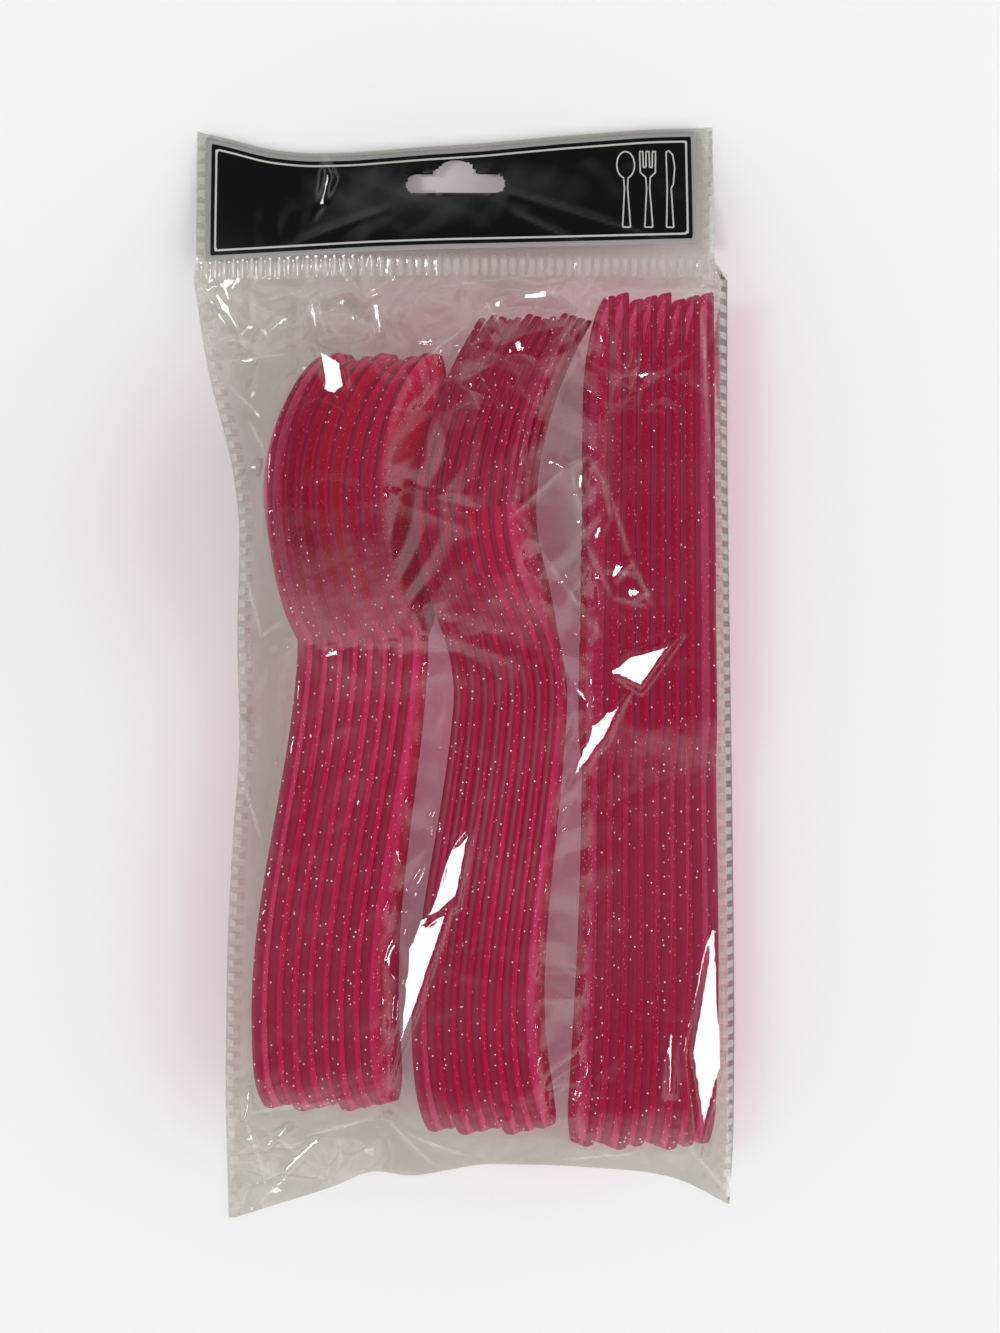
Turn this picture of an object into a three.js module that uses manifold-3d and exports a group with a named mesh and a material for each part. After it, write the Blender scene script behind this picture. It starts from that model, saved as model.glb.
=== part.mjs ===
// Plastic cutlery pack: eight spoons, eight forks and eight knives in a clear film bag
// with a printed card in its header. Millimetres, +Z up, the pack lying on its back.

import * as THREE from 'three';
import { mergeVertices } from 'three/addons/utils/BufferGeometryUtils.js';
import Module from 'manifold-3d';

const wasm = await Module();
wasm.setup();

const { degToRad, lerp, smoothstep } = THREE.MathUtils;

// What every piece shares
const piecesPerKind = 8;
const clearance = 0.3;
const webThickness = 1.3;
const ribHeight = 2.3;
const ribInset = 0.7;
const endRadius = 9;
const endRoundness = 0.7;

// Spoon
const spoonLength = 168;
const spoonEndWidth = 17;
const spoonNeckWidth = 9;
const spoonNeckAt = 108;
const bowlWidth = 33;
const bowlDepth = 7;
const bowlWidestAt = 140;
const bowlTipBlunt = 0.6;
const bowlNeckOverlap = 3;
const spoonEndRise = 3.5;
const spoonCrownRise = 4.5;
const spoonTipRise = 4;

// Fork
const forkLength = 181;
const forkEndWidth = 16;
const forkNeckWidth = 8.5;
const forkNeckAt = 104;
const forkHeadWidth = 23;
const forkHeadTaper = 0.12;
const forkShoulderLength = 22;
const forkEndRise = 5;
const forkCrownRise = 3.5;
const forkHeadDrop = 8;
const forkTipRise = 4;
const tineCount = 4;
const tineLength = 42;
const tineSlotWidth = 2.4;
const tineSlotMouth = 4.2;
const tinePointLength = 12;

// Knife
const knifeLength = 190;
const knifeEndWidth = 16;
const knifeNeckWidth = 12;
const knifeNeckAt = 82;
const bladeWidth = 18;
const bladeShoulderLength = 14;
const bladeTipLength = 24;
const bladeTipRoundness = 0.97;
const bladeThickness = 1.4;
const knifeEndRise = 2;
const toothCount = 14;
const toothPitch = 3;
const toothDepth = 0.8;
const toothStart = 112;

// How each kind leans in the bag: upright angle, where the handle ends lie along the bag, and the
// gap from one nested piece to the next
const spoonLean = 66;
const spoonEndsAt = -97;
const spoonYaw = -3.7;
const spoonNestGap = 0.85;
const spoonFan = 0.05;
const forkLean = 72;
const forkEndsAt = -102;
const forkYaw = -4.2;
const forkNestGap = 0.95;
const forkFan = 0.26;
const knifeLean = -72;
const knifeEndsAt = -106;
const knifeYaw = -0.8;
const knifeNestGap = 1.25;
const knifeFan = 0.18;
const firstRowAt = -42.5;
const rowGap = 0.4;
const rowGapTolerance = 0.05;
const lengthwiseShuffle = 0.8;
const shuffleTurn = 2.1;

// Bag
const filmThickness = 0.25;
const weldWidth = 2.2;
const foldWidth = 0.6;
const leftMargin = 4;
const rightMargin = 3;
const bottomMargin = 6.5;
const topMargin = 4.2;
const tipCover = 0.95;
const cornerEar = 11;
const earSharpness = 5;
const sealHeight = 3;
const sealOverhang = { left: 0.6, right: 4.4 };
const sealLift = { left: 4, middle: 14, right: 10 };
const sealPeak = { from: 0.35, to: 0.45 };
const ventGap = 0.4;
const filmSlope = 1.1;
const sampleSpacing = 8;
const seamShare = 0.45;
const backSagsWithin = 0.15;
const sealBend = 1.5;

// Header
const headerWidth = 117;
const headerLength = 32;
const headerOffset = -2;
const cardThickness = 0.4;
const cardTopGap = 0.8;
const slotWidth = 22.4;
const slotBarHeight = 4.8;
const slotHeight = 8.2;
const slotHumpRadius = 5.6;
const slotFromTop = 5.1;
const slotCutDepth = 16;

const plasticColour = 0xa3123f;
const plasticRoughness = 0.2;
const filmColour = 0xe4e2dc;
const cardColour = 0x141416;

// Closed body between a front and a back grid of points, rows along +Y and columns along +X.
function closedLoft(front, back) {
  const rows = front.length;
  const columns = front[0].length;
  const place = (side, i, j) => (side * rows + i) * columns + j;
  const triangles = [];
  const quad = (a, b, c, d) => triangles.push([a, b, c], [a, c, d]);
  const lastRow = rows - 1;
  const lastColumn = columns - 1;
  for (let i = 0; i < lastRow; i++) {
    for (let j = 0; j < lastColumn; j++) {
      quad(place(0, i, j), place(0, i, j + 1), place(0, i + 1, j + 1), place(0, i + 1, j));
      quad(place(1, i, j), place(1, i + 1, j), place(1, i + 1, j + 1), place(1, i, j + 1));
    }
    quad(place(0, i, 0), place(0, i + 1, 0), place(1, i + 1, 0), place(1, i, 0));
    quad(place(0, i + 1, lastColumn), place(0, i, lastColumn), place(1, i, lastColumn),
      place(1, i + 1, lastColumn));
  }
  for (let j = 0; j < lastColumn; j++) {
    quad(place(0, 0, j + 1), place(0, 0, j), place(1, 0, j), place(1, 0, j + 1));
    quad(place(0, lastRow, j), place(0, lastRow, j + 1), place(1, lastRow, j + 1),
      place(1, lastRow, j));
  }
  const loose = new THREE.BufferGeometry().setFromPoints([...front.flat(), ...back.flat()]);
  loose.setIndex(triangles.flat());
  const joined = mergeVertices(loose, 1e-4);
  const index = Array.from(joined.index.array);
  const kept = [];
  for (let k = 0; k < index.length; k += 3) {
    const [a, b, c] = index.slice(k, k + 3);
    if (a !== b && b !== c && c !== a) kept.push(a, b, c);
  }
  joined.setIndex(kept);
  return joined;
}

function solidFrom(geometry) {
  const bare = geometry.clone();
  bare.deleteAttribute('normal');
  bare.deleteAttribute('uv');
  const merged = mergeVertices(bare, 1e-4);
  return new wasm.Manifold(new wasm.Mesh({
    numProp: 3,
    vertProperties: new Float32Array(merged.attributes.position.array),
    triVerts: new Uint32Array(merged.index.array),
  }));
}

function geometryFrom(solid) {
  const mesh = solid.getMesh();
  const geometry = new THREE.BufferGeometry();
  geometry.setAttribute('position', new THREE.BufferAttribute(mesh.vertProperties, 3));
  geometry.setIndex(new THREE.BufferAttribute(mesh.triVerts, 1));
  return geometry;
}

function steps(from, to, count) {
  return Array.from({ length: count + 1 }, (_, k) => lerp(from, to, k / count));
}

// Height of a piece's centre line along its length: it runs from a turned-up end through the
// low of the handle, the crown at the neck and the low of the head to a turned-up tip.
function centreLine(s, { length, endRise, crownAt, crownRise, headAt, headRise, tipRise }) {
  const handleLowAt = crownAt / 3;
  if (s < handleLowAt) return endRise * (1 - s / handleLowAt) ** 2;
  if (s < crownAt) return crownRise * smoothstep(s, handleLowAt, crownAt);
  if (s < headAt) return lerp(crownRise, headRise, smoothstep(s, crownAt, headAt));
  return headRise + (tipRise - headRise) * ((s - headAt) / (length - headAt)) ** 2;
}

// Half width of a handle: round at its end and tapering to the neck.
function handleHalfWidth(s, endWidth, neckWidth, neckAt) {
  const taper = lerp(endWidth, neckWidth, smoothstep(s, endRadius, neckAt)) / 2;
  const corner = Math.max(0, 1 - s / endRadius);
  return taper * Math.sqrt(1 - endRoundness * corner ** 2);
}

// Moulded piece: a web with ribs that hang from the edges of the handle. The outline gives the
// left and right edge, the line gives the middle height, dish hollows it, and rib fades the ribs.
function mouldedPiece(stations, { left, right, line, dish, rib, thickness }) {
  const across = [-1, -ribInset, 0, ribInset, 1];
  const face = (s, u) => new THREE.Vector3(
    lerp(left(s), right(s), (u + 1) / 2), s, line(s) - dish(s) * (1 - u * u));
  const depth = (s, u) => thickness + (Math.abs(u) === 1 ? (ribHeight - thickness) * rib(s) : 0);
  const top = stations.map((s) => across.map((u) => face(s, u)));
  const bottom = stations.map((s) => across.map((u) => {
    const point = face(s, u);
    point.z -= depth(s, u);
    return point;
  }));
  return closedLoft(top, bottom);
}

function spoonGeometry() {
  const tipReach = spoonLength + bowlTipBlunt;
  const neckReach = bowlWidestAt - spoonNeckAt + bowlNeckOverlap;
  const along = (s) => (s - bowlWidestAt) / (s > bowlWidestAt ? tipReach - bowlWidestAt : neckReach);
  const fullness = (s) => Math.max(0, 1 - along(s) ** 2);
  const half = (s) => {
    const handle = s < bowlWidestAt
      ? handleHalfWidth(s, spoonEndWidth, spoonNeckWidth, spoonNeckAt) : 0;
    return Math.hypot(handle * (1 - fullness(s)), bowlWidth / 2 * Math.sqrt(fullness(s)));
  };
  const line = (s) => centreLine(s, {
    length: spoonLength, endRise: spoonEndRise, crownAt: spoonNeckAt - endRadius,
    crownRise: spoonCrownRise, headAt: bowlWidestAt, headRise: 0, tipRise: spoonTipRise,
  });
  const roundTip = steps(0, Math.PI / 2, 5).map((a) => lerp(bowlWidestAt, spoonLength, Math.sin(a)));
  const stations = [0, endRadius / 4, ...steps(endRadius, spoonNeckAt, 7),
    ...steps(spoonNeckAt + neckReach / 6, bowlWidestAt, 4), ...roundTip.slice(1)];
  return mouldedPiece(stations, {
    left: (s) => -half(s),
    right: half,
    line,
    dish: (s) => (s > spoonNeckAt ? bowlDepth * fullness(s) : 0),
    rib: (s) => 1 - smoothstep(s, spoonNeckAt, bowlWidestAt),
    thickness: webThickness,
  });
}

// Slot between two tines: a round root, straight sides and a mouth that opens to the points.
function tineSlot() {
  const root = tineSlotWidth / 2;
  const rootAt = forkLength - tineLength;
  const past = forkLength + endRadius;
  const shape = new THREE.Shape();
  shape.moveTo(root, rootAt + root);
  shape.lineTo(root, forkLength - tinePointLength);
  shape.lineTo(tineSlotMouth / 2, forkLength);
  shape.lineTo(tineSlotMouth / 2, past);
  shape.lineTo(-tineSlotMouth / 2, past);
  shape.lineTo(-tineSlotMouth / 2, forkLength);
  shape.lineTo(-root, forkLength - tinePointLength);
  shape.lineTo(-root, rootAt + root);
  shape.absarc(0, rootAt + root, root, Math.PI, 2 * Math.PI);
  const reach = forkHeadDrop + forkTipRise + forkLength / 10;
  const geometry = new THREE.ExtrudeGeometry(shape, {
    depth: 2 * reach, bevelEnabled: false, curveSegments: 3,
  });
  return geometry.translate(0, 0, -reach);
}

function forkGeometry() {
  const headAt = forkLength - tineLength;
  const half = (s) => {
    const handle = handleHalfWidth(s, forkEndWidth, forkNeckWidth, forkNeckAt);
    const tip = 1 - forkHeadTaper * smoothstep(s, headAt, forkLength);
    const head = smoothstep(s, forkNeckAt, forkNeckAt + forkShoulderLength);
    return lerp(handle, forkHeadWidth / 2 * tip, head);
  };
  const line = (s) => centreLine(s, {
    length: forkLength, endRise: forkEndRise, crownAt: forkNeckAt - endRadius,
    crownRise: forkCrownRise, headAt, headRise: -forkHeadDrop, tipRise: forkTipRise,
  });
  const stations = [0, endRadius / 4, ...steps(endRadius, forkNeckAt, 7),
    ...steps(forkNeckAt + forkShoulderLength / 4, headAt, 4), ...steps(headAt, forkLength, 4).slice(1)];
  const blank = mouldedPiece(stations, {
    left: (s) => -half(s),
    right: half,
    line,
    dish: () => 0,
    rib: (s) => 1 - smoothstep(s, forkNeckAt, forkNeckAt + forkShoulderLength),
    thickness: webThickness,
  });
  let fork = solidFrom(blank);
  const tinePitch = (forkHeadWidth + tineSlotWidth) / tineCount;
  for (let k = 1; k < tineCount; k++) {
    const slot = tineSlot().translate((k - tineCount / 2) * tinePitch, 0, 0);
    fork = fork.subtract(solidFrom(slot));
  }
  return geometryFrom(fork);
}

// Row of wedges that cuts the teeth of the knife's edge.
function toothCutters(edgeAt) {
  const reach = bladeWidth / 2;
  const shape = new THREE.Shape();
  shape.moveTo(edgeAt - reach, toothStart);
  for (let k = 0; k < toothCount; k++) {
    const foot = toothStart + k * toothPitch;
    shape.lineTo(edgeAt - toothDepth / 4, foot);
    shape.lineTo(edgeAt + toothDepth, foot + toothPitch / 2);
  }
  const end = toothStart + toothCount * toothPitch;
  shape.lineTo(edgeAt - toothDepth / 4, end);
  shape.lineTo(edgeAt - reach, end);
  const depth = 2 * reach;
  return new THREE.ExtrudeGeometry(shape, { depth, bevelEnabled: false }).translate(0, 0, -reach);
}

function knifeGeometry() {
  const bladeAt = knifeNeckAt + bladeShoulderLength;
  const tipAt = knifeLength - bladeTipLength;
  const half = (s) => lerp(handleHalfWidth(s, knifeEndWidth, knifeNeckWidth, knifeNeckAt),
    bladeWidth / 2, smoothstep(s, knifeNeckAt, bladeAt));
  const tipCurve = (s) => Math.sqrt(1 - (bladeTipRoundness * Math.max(0, s - tipAt) / bladeTipLength) ** 2);
  const line = (s) => knifeEndRise * Math.max(0, 1 - 3 * s / knifeLength) ** 2;
  const roundTip = steps(0, Math.PI / 2, 4).map((a) => lerp(tipAt, knifeLength, Math.sin(a)));
  const stations = [0, endRadius / 4, ...steps(endRadius, knifeNeckAt, 4),
    ...steps(knifeNeckAt + bladeShoulderLength / 2, bladeAt, 1), ...roundTip];
  const blank = mouldedPiece(stations, {
    left: (s) => half(s) * (1 - 2 * tipCurve(s)),
    right: half,
    line,
    dish: () => 0,
    rib: (s) => 1 - smoothstep(s, knifeNeckAt, bladeAt),
    thickness: bladeThickness,
  });
  return geometryFrom(solidFrom(blank).subtract(solidFrom(toothCutters(-bladeWidth / 2))));
}

function plastic() {
  return new THREE.MeshStandardMaterial({
    color: plasticColour, roughness: plasticRoughness, metalness: 0, transparent: true, opacity: 0.75,
  });
}

// A row of one kind, leaning like books: each piece is a step further along +X, turned a little
// more than the one before, and shuffled lengthwise by hand-packing.
function stack(name, geometry, { lean, endsAt, yaw, nestGap, fan, headWidth, endWidth, headAt }) {
  const row = new THREE.Group();
  const upright = Math.abs(Math.sin(degToRad(lean)));
  const step = (ribHeight + nestGap) / upright;
  const headLift = Math.atan2((headWidth - endWidth) / 2 * upright, headAt);
  for (let k = 0; k < piecesPerKind; k++) {
    const piece = new THREE.Mesh(geometry.clone(), plastic());
    piece.name = `${name}_${k + 1}`;
    const holder = new THREE.Group();
    holder.rotation.set(headLift, 0, degToRad(yaw + fan * k), 'ZXY');
    holder.position.set(step * k, endsAt + lengthwiseShuffle * Math.sin(shuffleTurn * k), 0);
    piece.rotation.y = degToRad(lean);
    holder.add(piece);
    row.add(holder);
  }
  row.updateMatrixWorld(true);
  for (const holder of row.children) {
    const low = new THREE.Box3().setFromObject(holder, true).min.z;
    holder.position.z = filmThickness + clearance - low;
  }
  row.updateMatrixWorld(true);
  return row;
}

const spoons = stack('spoon', spoonGeometry(), {
  lean: spoonLean, endsAt: spoonEndsAt, yaw: spoonYaw, nestGap: spoonNestGap, fan: spoonFan,
  headWidth: bowlWidth, endWidth: spoonEndWidth, headAt: bowlWidestAt,
});
const forks = stack('fork', forkGeometry(), {
  lean: forkLean, endsAt: forkEndsAt, yaw: forkYaw, nestGap: forkNestGap, fan: forkFan,
  headWidth: forkHeadWidth, endWidth: forkEndWidth, headAt: forkLength - tineLength,
});
const knives = stack('knife', knifeGeometry(), {
  lean: knifeLean, endsAt: knifeEndsAt, yaw: knifeYaw, nestGap: knifeNestGap, fan: knifeFan,
  headWidth: bladeWidth, endWidth: knifeEndWidth, headAt: knifeLength - bladeTipLength,
});

function rowSolid(row) {
  const pieces = [];
  row.traverse((piece) => {
    if (piece.isMesh) pieces.push(solidFrom(piece.geometry.clone().applyMatrix4(piece.matrixWorld)));
  });
  return wasm.Manifold.compose(pieces);
}

// Slides a row along -X towards the row before it until the two are a row gap apart. Each move is
// as long as the smallest gap between them allows, so they never meet.
function layAgainst(row, before) {
  const still = rowSolid(before);
  const moving = rowSolid(row);
  const search = still.boundingBox().max[0] - still.boundingBox().min[0];
  let place = still.boundingBox().max[0] - moving.boundingBox().min[0] + rowGap;
  let spare = search;
  while (spare > rowGapTolerance) {
    spare = still.minGap(moving.translate([place, 0, 0]), search) - rowGap;
    place -= Math.max(0, spare);
  }
  row.position.x = place;
  row.updateMatrixWorld(true);
}

spoons.position.x = firstRowAt;
spoons.updateMatrixWorld(true);
layAgainst(forks, spoons);
layAgainst(knives, forks);

const pack = new THREE.Group();
pack.add(spoons, forks, knives);

// Points along every edge of the cutlery, for the film to lie over.
const touchPoints = [];
for (const row of [spoons, forks, knives]) {
  row.traverse((piece) => {
    if (!piece.isMesh) return;
    const { position } = piece.geometry.attributes;
    const place = (k) => new THREE.Vector3().fromBufferAttribute(position, k)
      .applyMatrix4(piece.matrixWorld);
    const index = piece.geometry.index.array;
    for (let k = 0; k < index.length; k++) {
      const from = place(index[k]);
      const to = place(index[k % 3 === 2 ? k - 2 : k + 1]);
      const count = Math.ceil(from.distanceTo(to) / sampleSpacing);
      for (let n = 0; n < count; n++) touchPoints.push(from.clone().lerp(to, n / count));
    }
  });
}
const contents = new THREE.Box3().setFromPoints(touchPoints);

// The bag's outline, worked out from what it holds
const pouchBottom = contents.min.y - bottomMargin;
const sealBottom = contents.max.y + topMargin;
const sealTop = sealBottom + sealHeight;
const headerLeft = headerOffset - headerWidth / 2;
const headerRight = headerOffset + headerWidth / 2;
const pouchLeft = contents.min.x - leftMargin - weldWidth;
const pouchRight = contents.max.x + rightMargin + weldWidth;
const sealLeft = Math.min(pouchLeft, headerLeft - sealOverhang.left);
const sealRight = Math.max(pouchRight, headerRight + sealOverhang.right);
const shoulderAt = contents.max.y - (contents.max.y - contents.min.y) / 4;

function leftEdge(y) {
  return lerp(pouchLeft, sealLeft, smoothstep(y, shoulderAt, sealBottom));
}

function rightEdge(y) {
  return lerp(pouchRight, sealRight, smoothstep(y, shoulderAt, sealBottom));
}

// Bottom fold: straight below the cutlery, with ears at the two corners.
function foldLine(u) {
  return pouchBottom - cornerEar * Math.abs(2 * u - 1) ** earSharpness;
}

// Height of the cross seal: low at the left, highest over the spoons.
function sealRise(u) {
  const rising = lerp(sealLift.left, sealLift.middle, smoothstep(u, 0, sealPeak.from));
  return lerp(rising, sealLift.right, smoothstep(u, sealPeak.to, 1));
}

// Grid of the pouch: places across its width and along its length, closer together at the rim. The
// last row but one lies past the tips of the cutlery, over most of the top margin.
const columns = [0, 0.016, ...steps(0.1, 0.9, 9), 0.984, 1];
const pastTips = tipCover * topMargin / (sealBottom - pouchBottom);
const pouchRows = [0, 0.02, 0.05, ...steps(0.1, 0.9, 11), 0.95, 1 - pastTips, 1];
const widestStep = (list) => Math.max(...list.slice(1).map((value, k) => value - list[k]));
const reachAcross = widestStep(columns) * (sealRight - sealLeft);
const reachAlong = widestStep(pouchRows) * (sealBottom - pouchBottom);

// Film height over (side 1) or under (side -1) the cutlery: level within one grid cell of a
// touch point, and falling off at a steady slope past it.
function wrapHeight(x, y, side) {
  let best = -Infinity;
  for (const point of touchPoints) {
    const past = Math.max(0, Math.abs(x - point.x) - reachAcross, Math.abs(y - point.y) - reachAlong);
    best = Math.max(best, side * point.z - filmSlope * past);
  }
  return side * (best + clearance);
}

// Middle of the joined film at the rim of the pouch: welds, fold and seal.
function rimHeight(u, v) {
  const y = lerp(foldLine(u), sealBottom, v);
  const x = lerp(leftEdge(y) + weldWidth, rightEdge(y) - weldWidth, u);
  const beside = seamShare * Math.max(wrapHeight(x, y, 1), 2 * filmThickness);
  const atSeal = lerp(beside, sealRise(u), smoothstep(v, 0.75, 1));
  return lerp(filmThickness * 2, atSeal, smoothstep(v, 0, 0.15));
}

function pouchPoint(u, v, side) {
  const fold = foldLine(u) + foldWidth;
  const y = lerp(fold, sealBottom, v);
  const x = lerp(leftEdge(y) + weldWidth, rightEdge(y) - weldWidth, u);
  const rim = rimHeight(u, v);
  const onRim = u === 0 || u === 1 || v === 0 || v === 1;
  if (onRim) return new THREE.Vector3(x, y, rim);
  const wrap = wrapHeight(x, y, side);
  if (side > 0) return new THREE.Vector3(x, y, Math.max(wrap, rim + ventGap));
  const fromRim = Math.min(u, 1 - u, v, 1 - v);
  const lift = 1 - smoothstep(fromRim, 0, backSagsWithin);
  const under = lerp(filmThickness, Math.min(wrap, rim - ventGap), lift);
  return new THREE.Vector3(x, y, under < filmThickness + clearance ? filmThickness : under);
}

const innerFront = pouchRows.map((v) => columns.map((u) => pouchPoint(u, v, 1)));
const innerBack = pouchRows.map((v) => columns.map((u) => pouchPoint(u, v, -1)));

// The pouch's outer skin: a grid moved one film thickness along its normals, or straight up or
// down where the two films are joined or the back lies on the table.
function outerSkin(grid, side) {
  const lastRow = grid.length - 1;
  return grid.map((row, i) => row.map((point, j) => {
    const lastColumn = row.length - 1;
    const joined = i === 0 || j === 0 || i === lastRow || j === lastColumn;
    const onTable = side < 0 && point.z === filmThickness;
    const normal = new THREE.Vector3(0, 0, 1);
    if (!joined && !onTable) {
      const east = row[j + 1].clone().sub(row[j - 1]);
      normal.copy(east.cross(grid[i + 1][j].clone().sub(grid[i - 1][j]))).normalize();
    }
    const spread = i === lastRow && inVent(columns[j]) ? ventGap / 2 : 0;
    const moved = point.clone().addScaledVector(normal, side * (filmThickness + spread));
    moved.z = Math.max(0, moved.z);
    return moved;
  }));
}

// The cross seal stops short of the left weld, which leaves a narrow way for air to escape.
function inVent(u) {
  return u === columns[1] || u === columns[2];
}

// Header: it slopes from the raised seal down to the table, on the same columns as the pouch.
const pocketGap = cardThickness + 2 * clearance;
const headerRest = pocketGap / 2 + filmThickness;

function headerPoint(u, past, away) {
  const x = lerp(headerLeft + weldWidth, headerRight - weldWidth, u);
  const drop = sealRise(u) - headerRest;
  const run = Math.sqrt(headerLength ** 2 - drop ** 2);
  const share = past / headerLength;
  return new THREE.Vector3(x, sealTop + run * share, sealRise(u) - drop * share + away);
}

function pocketHalf(u, past) {
  return u === 0 || u === 1 || past === 0 ? 0 : pocketGap / 2;
}

const headerRows = [sealBend, headerLength / 2, headerLength];

// One side of the whole bag, from the fold to the top of the header, with its side welds.
function bagSkin(side) {
  const pouch = outerSkin(side > 0 ? innerFront : innerBack, side);
  const fold = columns.map((u, j) => new THREE.Vector3(
    pouch[0][j].x, foldLine(u), Math.max(0, rimHeight(u, 0) + side * filmThickness)));
  const seal = pouch.at(-1).map((point) => point.clone().setY(sealTop));
  const header = headerRows.map((past) => columns.map(
    (u) => headerPoint(u, past, side * (pocketHalf(u, past) + filmThickness))));
  const rows = [fold, ...pouch, seal, ...header];
  return rows.map((row, i) => {
    const inHeader = i >= rows.length - headerRows.length;
    const first = row[0].clone();
    const last = row.at(-1).clone();
    first.x = inHeader ? headerLeft : leftEdge(first.y);
    last.x = inHeader ? headerRight : rightEdge(last.y);
    return [first, ...row, last];
  });
}

function ventChannel(side) {
  const reach = pouchRows.length - 2;
  const ends = [pouchRows[reach], 1].map((v) => [columns[1], columns[2]].map((u) => {
    const point = pouchPoint(u, v, side);
    point.z = rimHeight(u, v) + side * ventGap / 2;
    return point;
  }));
  const intoPocket = [columns[1], columns[2]].map(
    (u) => headerPoint(u, sealBend, side * ventGap / 2));
  return [...ends, intoPocket];
}

function pocketSkin(side) {
  return [0, ...headerRows, headerLength + endRadius].map((past) => columns.map(
    (u) => headerPoint(u, past, side * pocketHalf(u, past))));
}

// Hang slot: a bar with round ends and a round hump over its middle, square to the header.
function hangSlot() {
  const endRound = slotBarHeight / 2;
  const straight = slotWidth / 2 - endRound;
  const humpCentre = slotHeight - slotHumpRadius;
  const humpFoot = Math.asin((slotBarHeight - humpCentre) / slotHumpRadius);
  const shape = new THREE.Shape();
  shape.moveTo(-straight, 0);
  shape.lineTo(straight, 0);
  shape.absarc(straight, endRound, endRound, -Math.PI / 2, Math.PI / 2);
  shape.absarc(0, humpCentre, slotHumpRadius, humpFoot, Math.PI - humpFoot);
  shape.absarc(-straight, endRound, endRound, Math.PI / 2, 3 * Math.PI / 2);
  const geometry = new THREE.ExtrudeGeometry(shape, {
    depth: slotCutDepth, bevelEnabled: false, curveSegments: 6,
  });
  const foot = headerPoint(0.5, headerLength - slotFromTop - slotHeight, 0);
  const tilt = Math.asin((sealRise(0.5) - headerRest) / headerLength);
  geometry.translate(0, 0, -slotCutDepth / 2);
  geometry.rotateX(-tilt);
  return geometry.translate(foot.x, foot.y, foot.z);
}

function bagGeometry() {
  const hollows = [
    closedLoft(innerFront, innerBack),
    closedLoft(pocketSkin(1), pocketSkin(-1)),
    closedLoft(ventChannel(1), ventChannel(-1)),
    hangSlot(),
  ];
  const whole = solidFrom(closedLoft(bagSkin(1), bagSkin(-1)));
  return geometryFrom(hollows.reduce((bag, hollow) => bag.subtract(solidFrom(hollow)), whole));
}

function cardGeometry() {
  const rows = [...headerRows];
  rows[0] += clearance;
  rows[rows.length - 1] -= cardTopGap;
  const skin = (side) => rows.map((past) => columns.slice(1, -1).map(
    (u) => headerPoint(u, past, side * cardThickness / 2)));
  return geometryFrom(solidFrom(closedLoft(skin(1), skin(-1))).subtract(solidFrom(hangSlot())));
}

const filmBag = new THREE.Mesh(bagGeometry(), new THREE.MeshStandardMaterial({
  color: filmColour, roughness: 0.1, metalness: 0, transparent: true, opacity: 0.25,
}));
filmBag.name = 'film_bag';
const headerCard = new THREE.Mesh(cardGeometry(), new THREE.MeshStandardMaterial({
  color: cardColour, roughness: 0.35, metalness: 0,
}));
headerCard.name = 'header_card';
pack.add(filmBag, headerCard);

// The origin is the middle of the pack's underside.
const whole = new THREE.Box3().setFromObject(pack, true);
const middle = whole.getCenter(new THREE.Vector3());
pack.position.set(-middle.x, -middle.y, -whole.min.z);

export default pack;
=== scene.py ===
import math

import bpy
import numpy as np
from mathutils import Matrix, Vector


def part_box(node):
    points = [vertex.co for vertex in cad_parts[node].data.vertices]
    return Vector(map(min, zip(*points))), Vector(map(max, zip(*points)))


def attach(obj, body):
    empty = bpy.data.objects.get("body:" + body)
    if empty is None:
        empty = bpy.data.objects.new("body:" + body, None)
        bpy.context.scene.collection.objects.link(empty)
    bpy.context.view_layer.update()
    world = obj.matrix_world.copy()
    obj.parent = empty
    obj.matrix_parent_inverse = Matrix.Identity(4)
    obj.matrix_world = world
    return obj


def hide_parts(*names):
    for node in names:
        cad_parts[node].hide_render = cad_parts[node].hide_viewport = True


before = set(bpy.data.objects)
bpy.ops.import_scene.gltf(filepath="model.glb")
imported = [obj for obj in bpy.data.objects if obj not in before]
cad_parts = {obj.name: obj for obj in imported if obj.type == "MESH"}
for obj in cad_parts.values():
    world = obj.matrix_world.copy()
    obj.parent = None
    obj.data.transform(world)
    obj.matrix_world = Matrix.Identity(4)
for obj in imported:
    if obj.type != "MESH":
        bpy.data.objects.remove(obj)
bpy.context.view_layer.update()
mm = 0.001


def smoothStep(x, low, high):
    t = np.clip((x - low) / (high - low), 0, 1)
    return t * t * (3 - 2 * t)


def lerp(a, b, t):
    return a + (b - a) * t


def newMesh(name, points, faces, materials):
    mesh = bpy.data.meshes.new(name)
    mesh.from_pydata(np.asarray(points, dtype=float) * mm, [], faces)
    mesh.polygons.foreach_set("use_smooth", np.ones(len(mesh.polygons), dtype=bool))
    for material in materials:
        mesh.materials.append(material)
    mesh.update()
    piece = bpy.data.objects.new(name, mesh)
    bpy.context.scene.collection.objects.link(piece)
    return piece


def addValue(piece, name, values):
    layer = piece.data.attributes.new(name, "FLOAT", "POINT")
    layer.data.foreach_set("value", np.asarray(values, dtype=np.float32))


# Quads between neighbouring rows and columns of a grid of points, numbered row by row.
def gridFaces(rows, columns, first=0, closed=False):
    i, j = np.meshgrid(np.arange(rows - 1), np.arange(columns if closed else columns - 1), indexing="ij")
    right = (j + 1) % columns
    here, above = i * columns, (i + 1) * columns
    quads = np.stack([here + j, here + right, above + right, above + j], axis=-1)
    return quads.reshape(-1, 4) + first


def makeMaterial(name):
    material = bpy.data.materials.new(name)
    material.use_nodes = True
    nodes, links = material.node_tree.nodes, material.node_tree.links
    nodes.clear()
    return material, nodes, links


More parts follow.
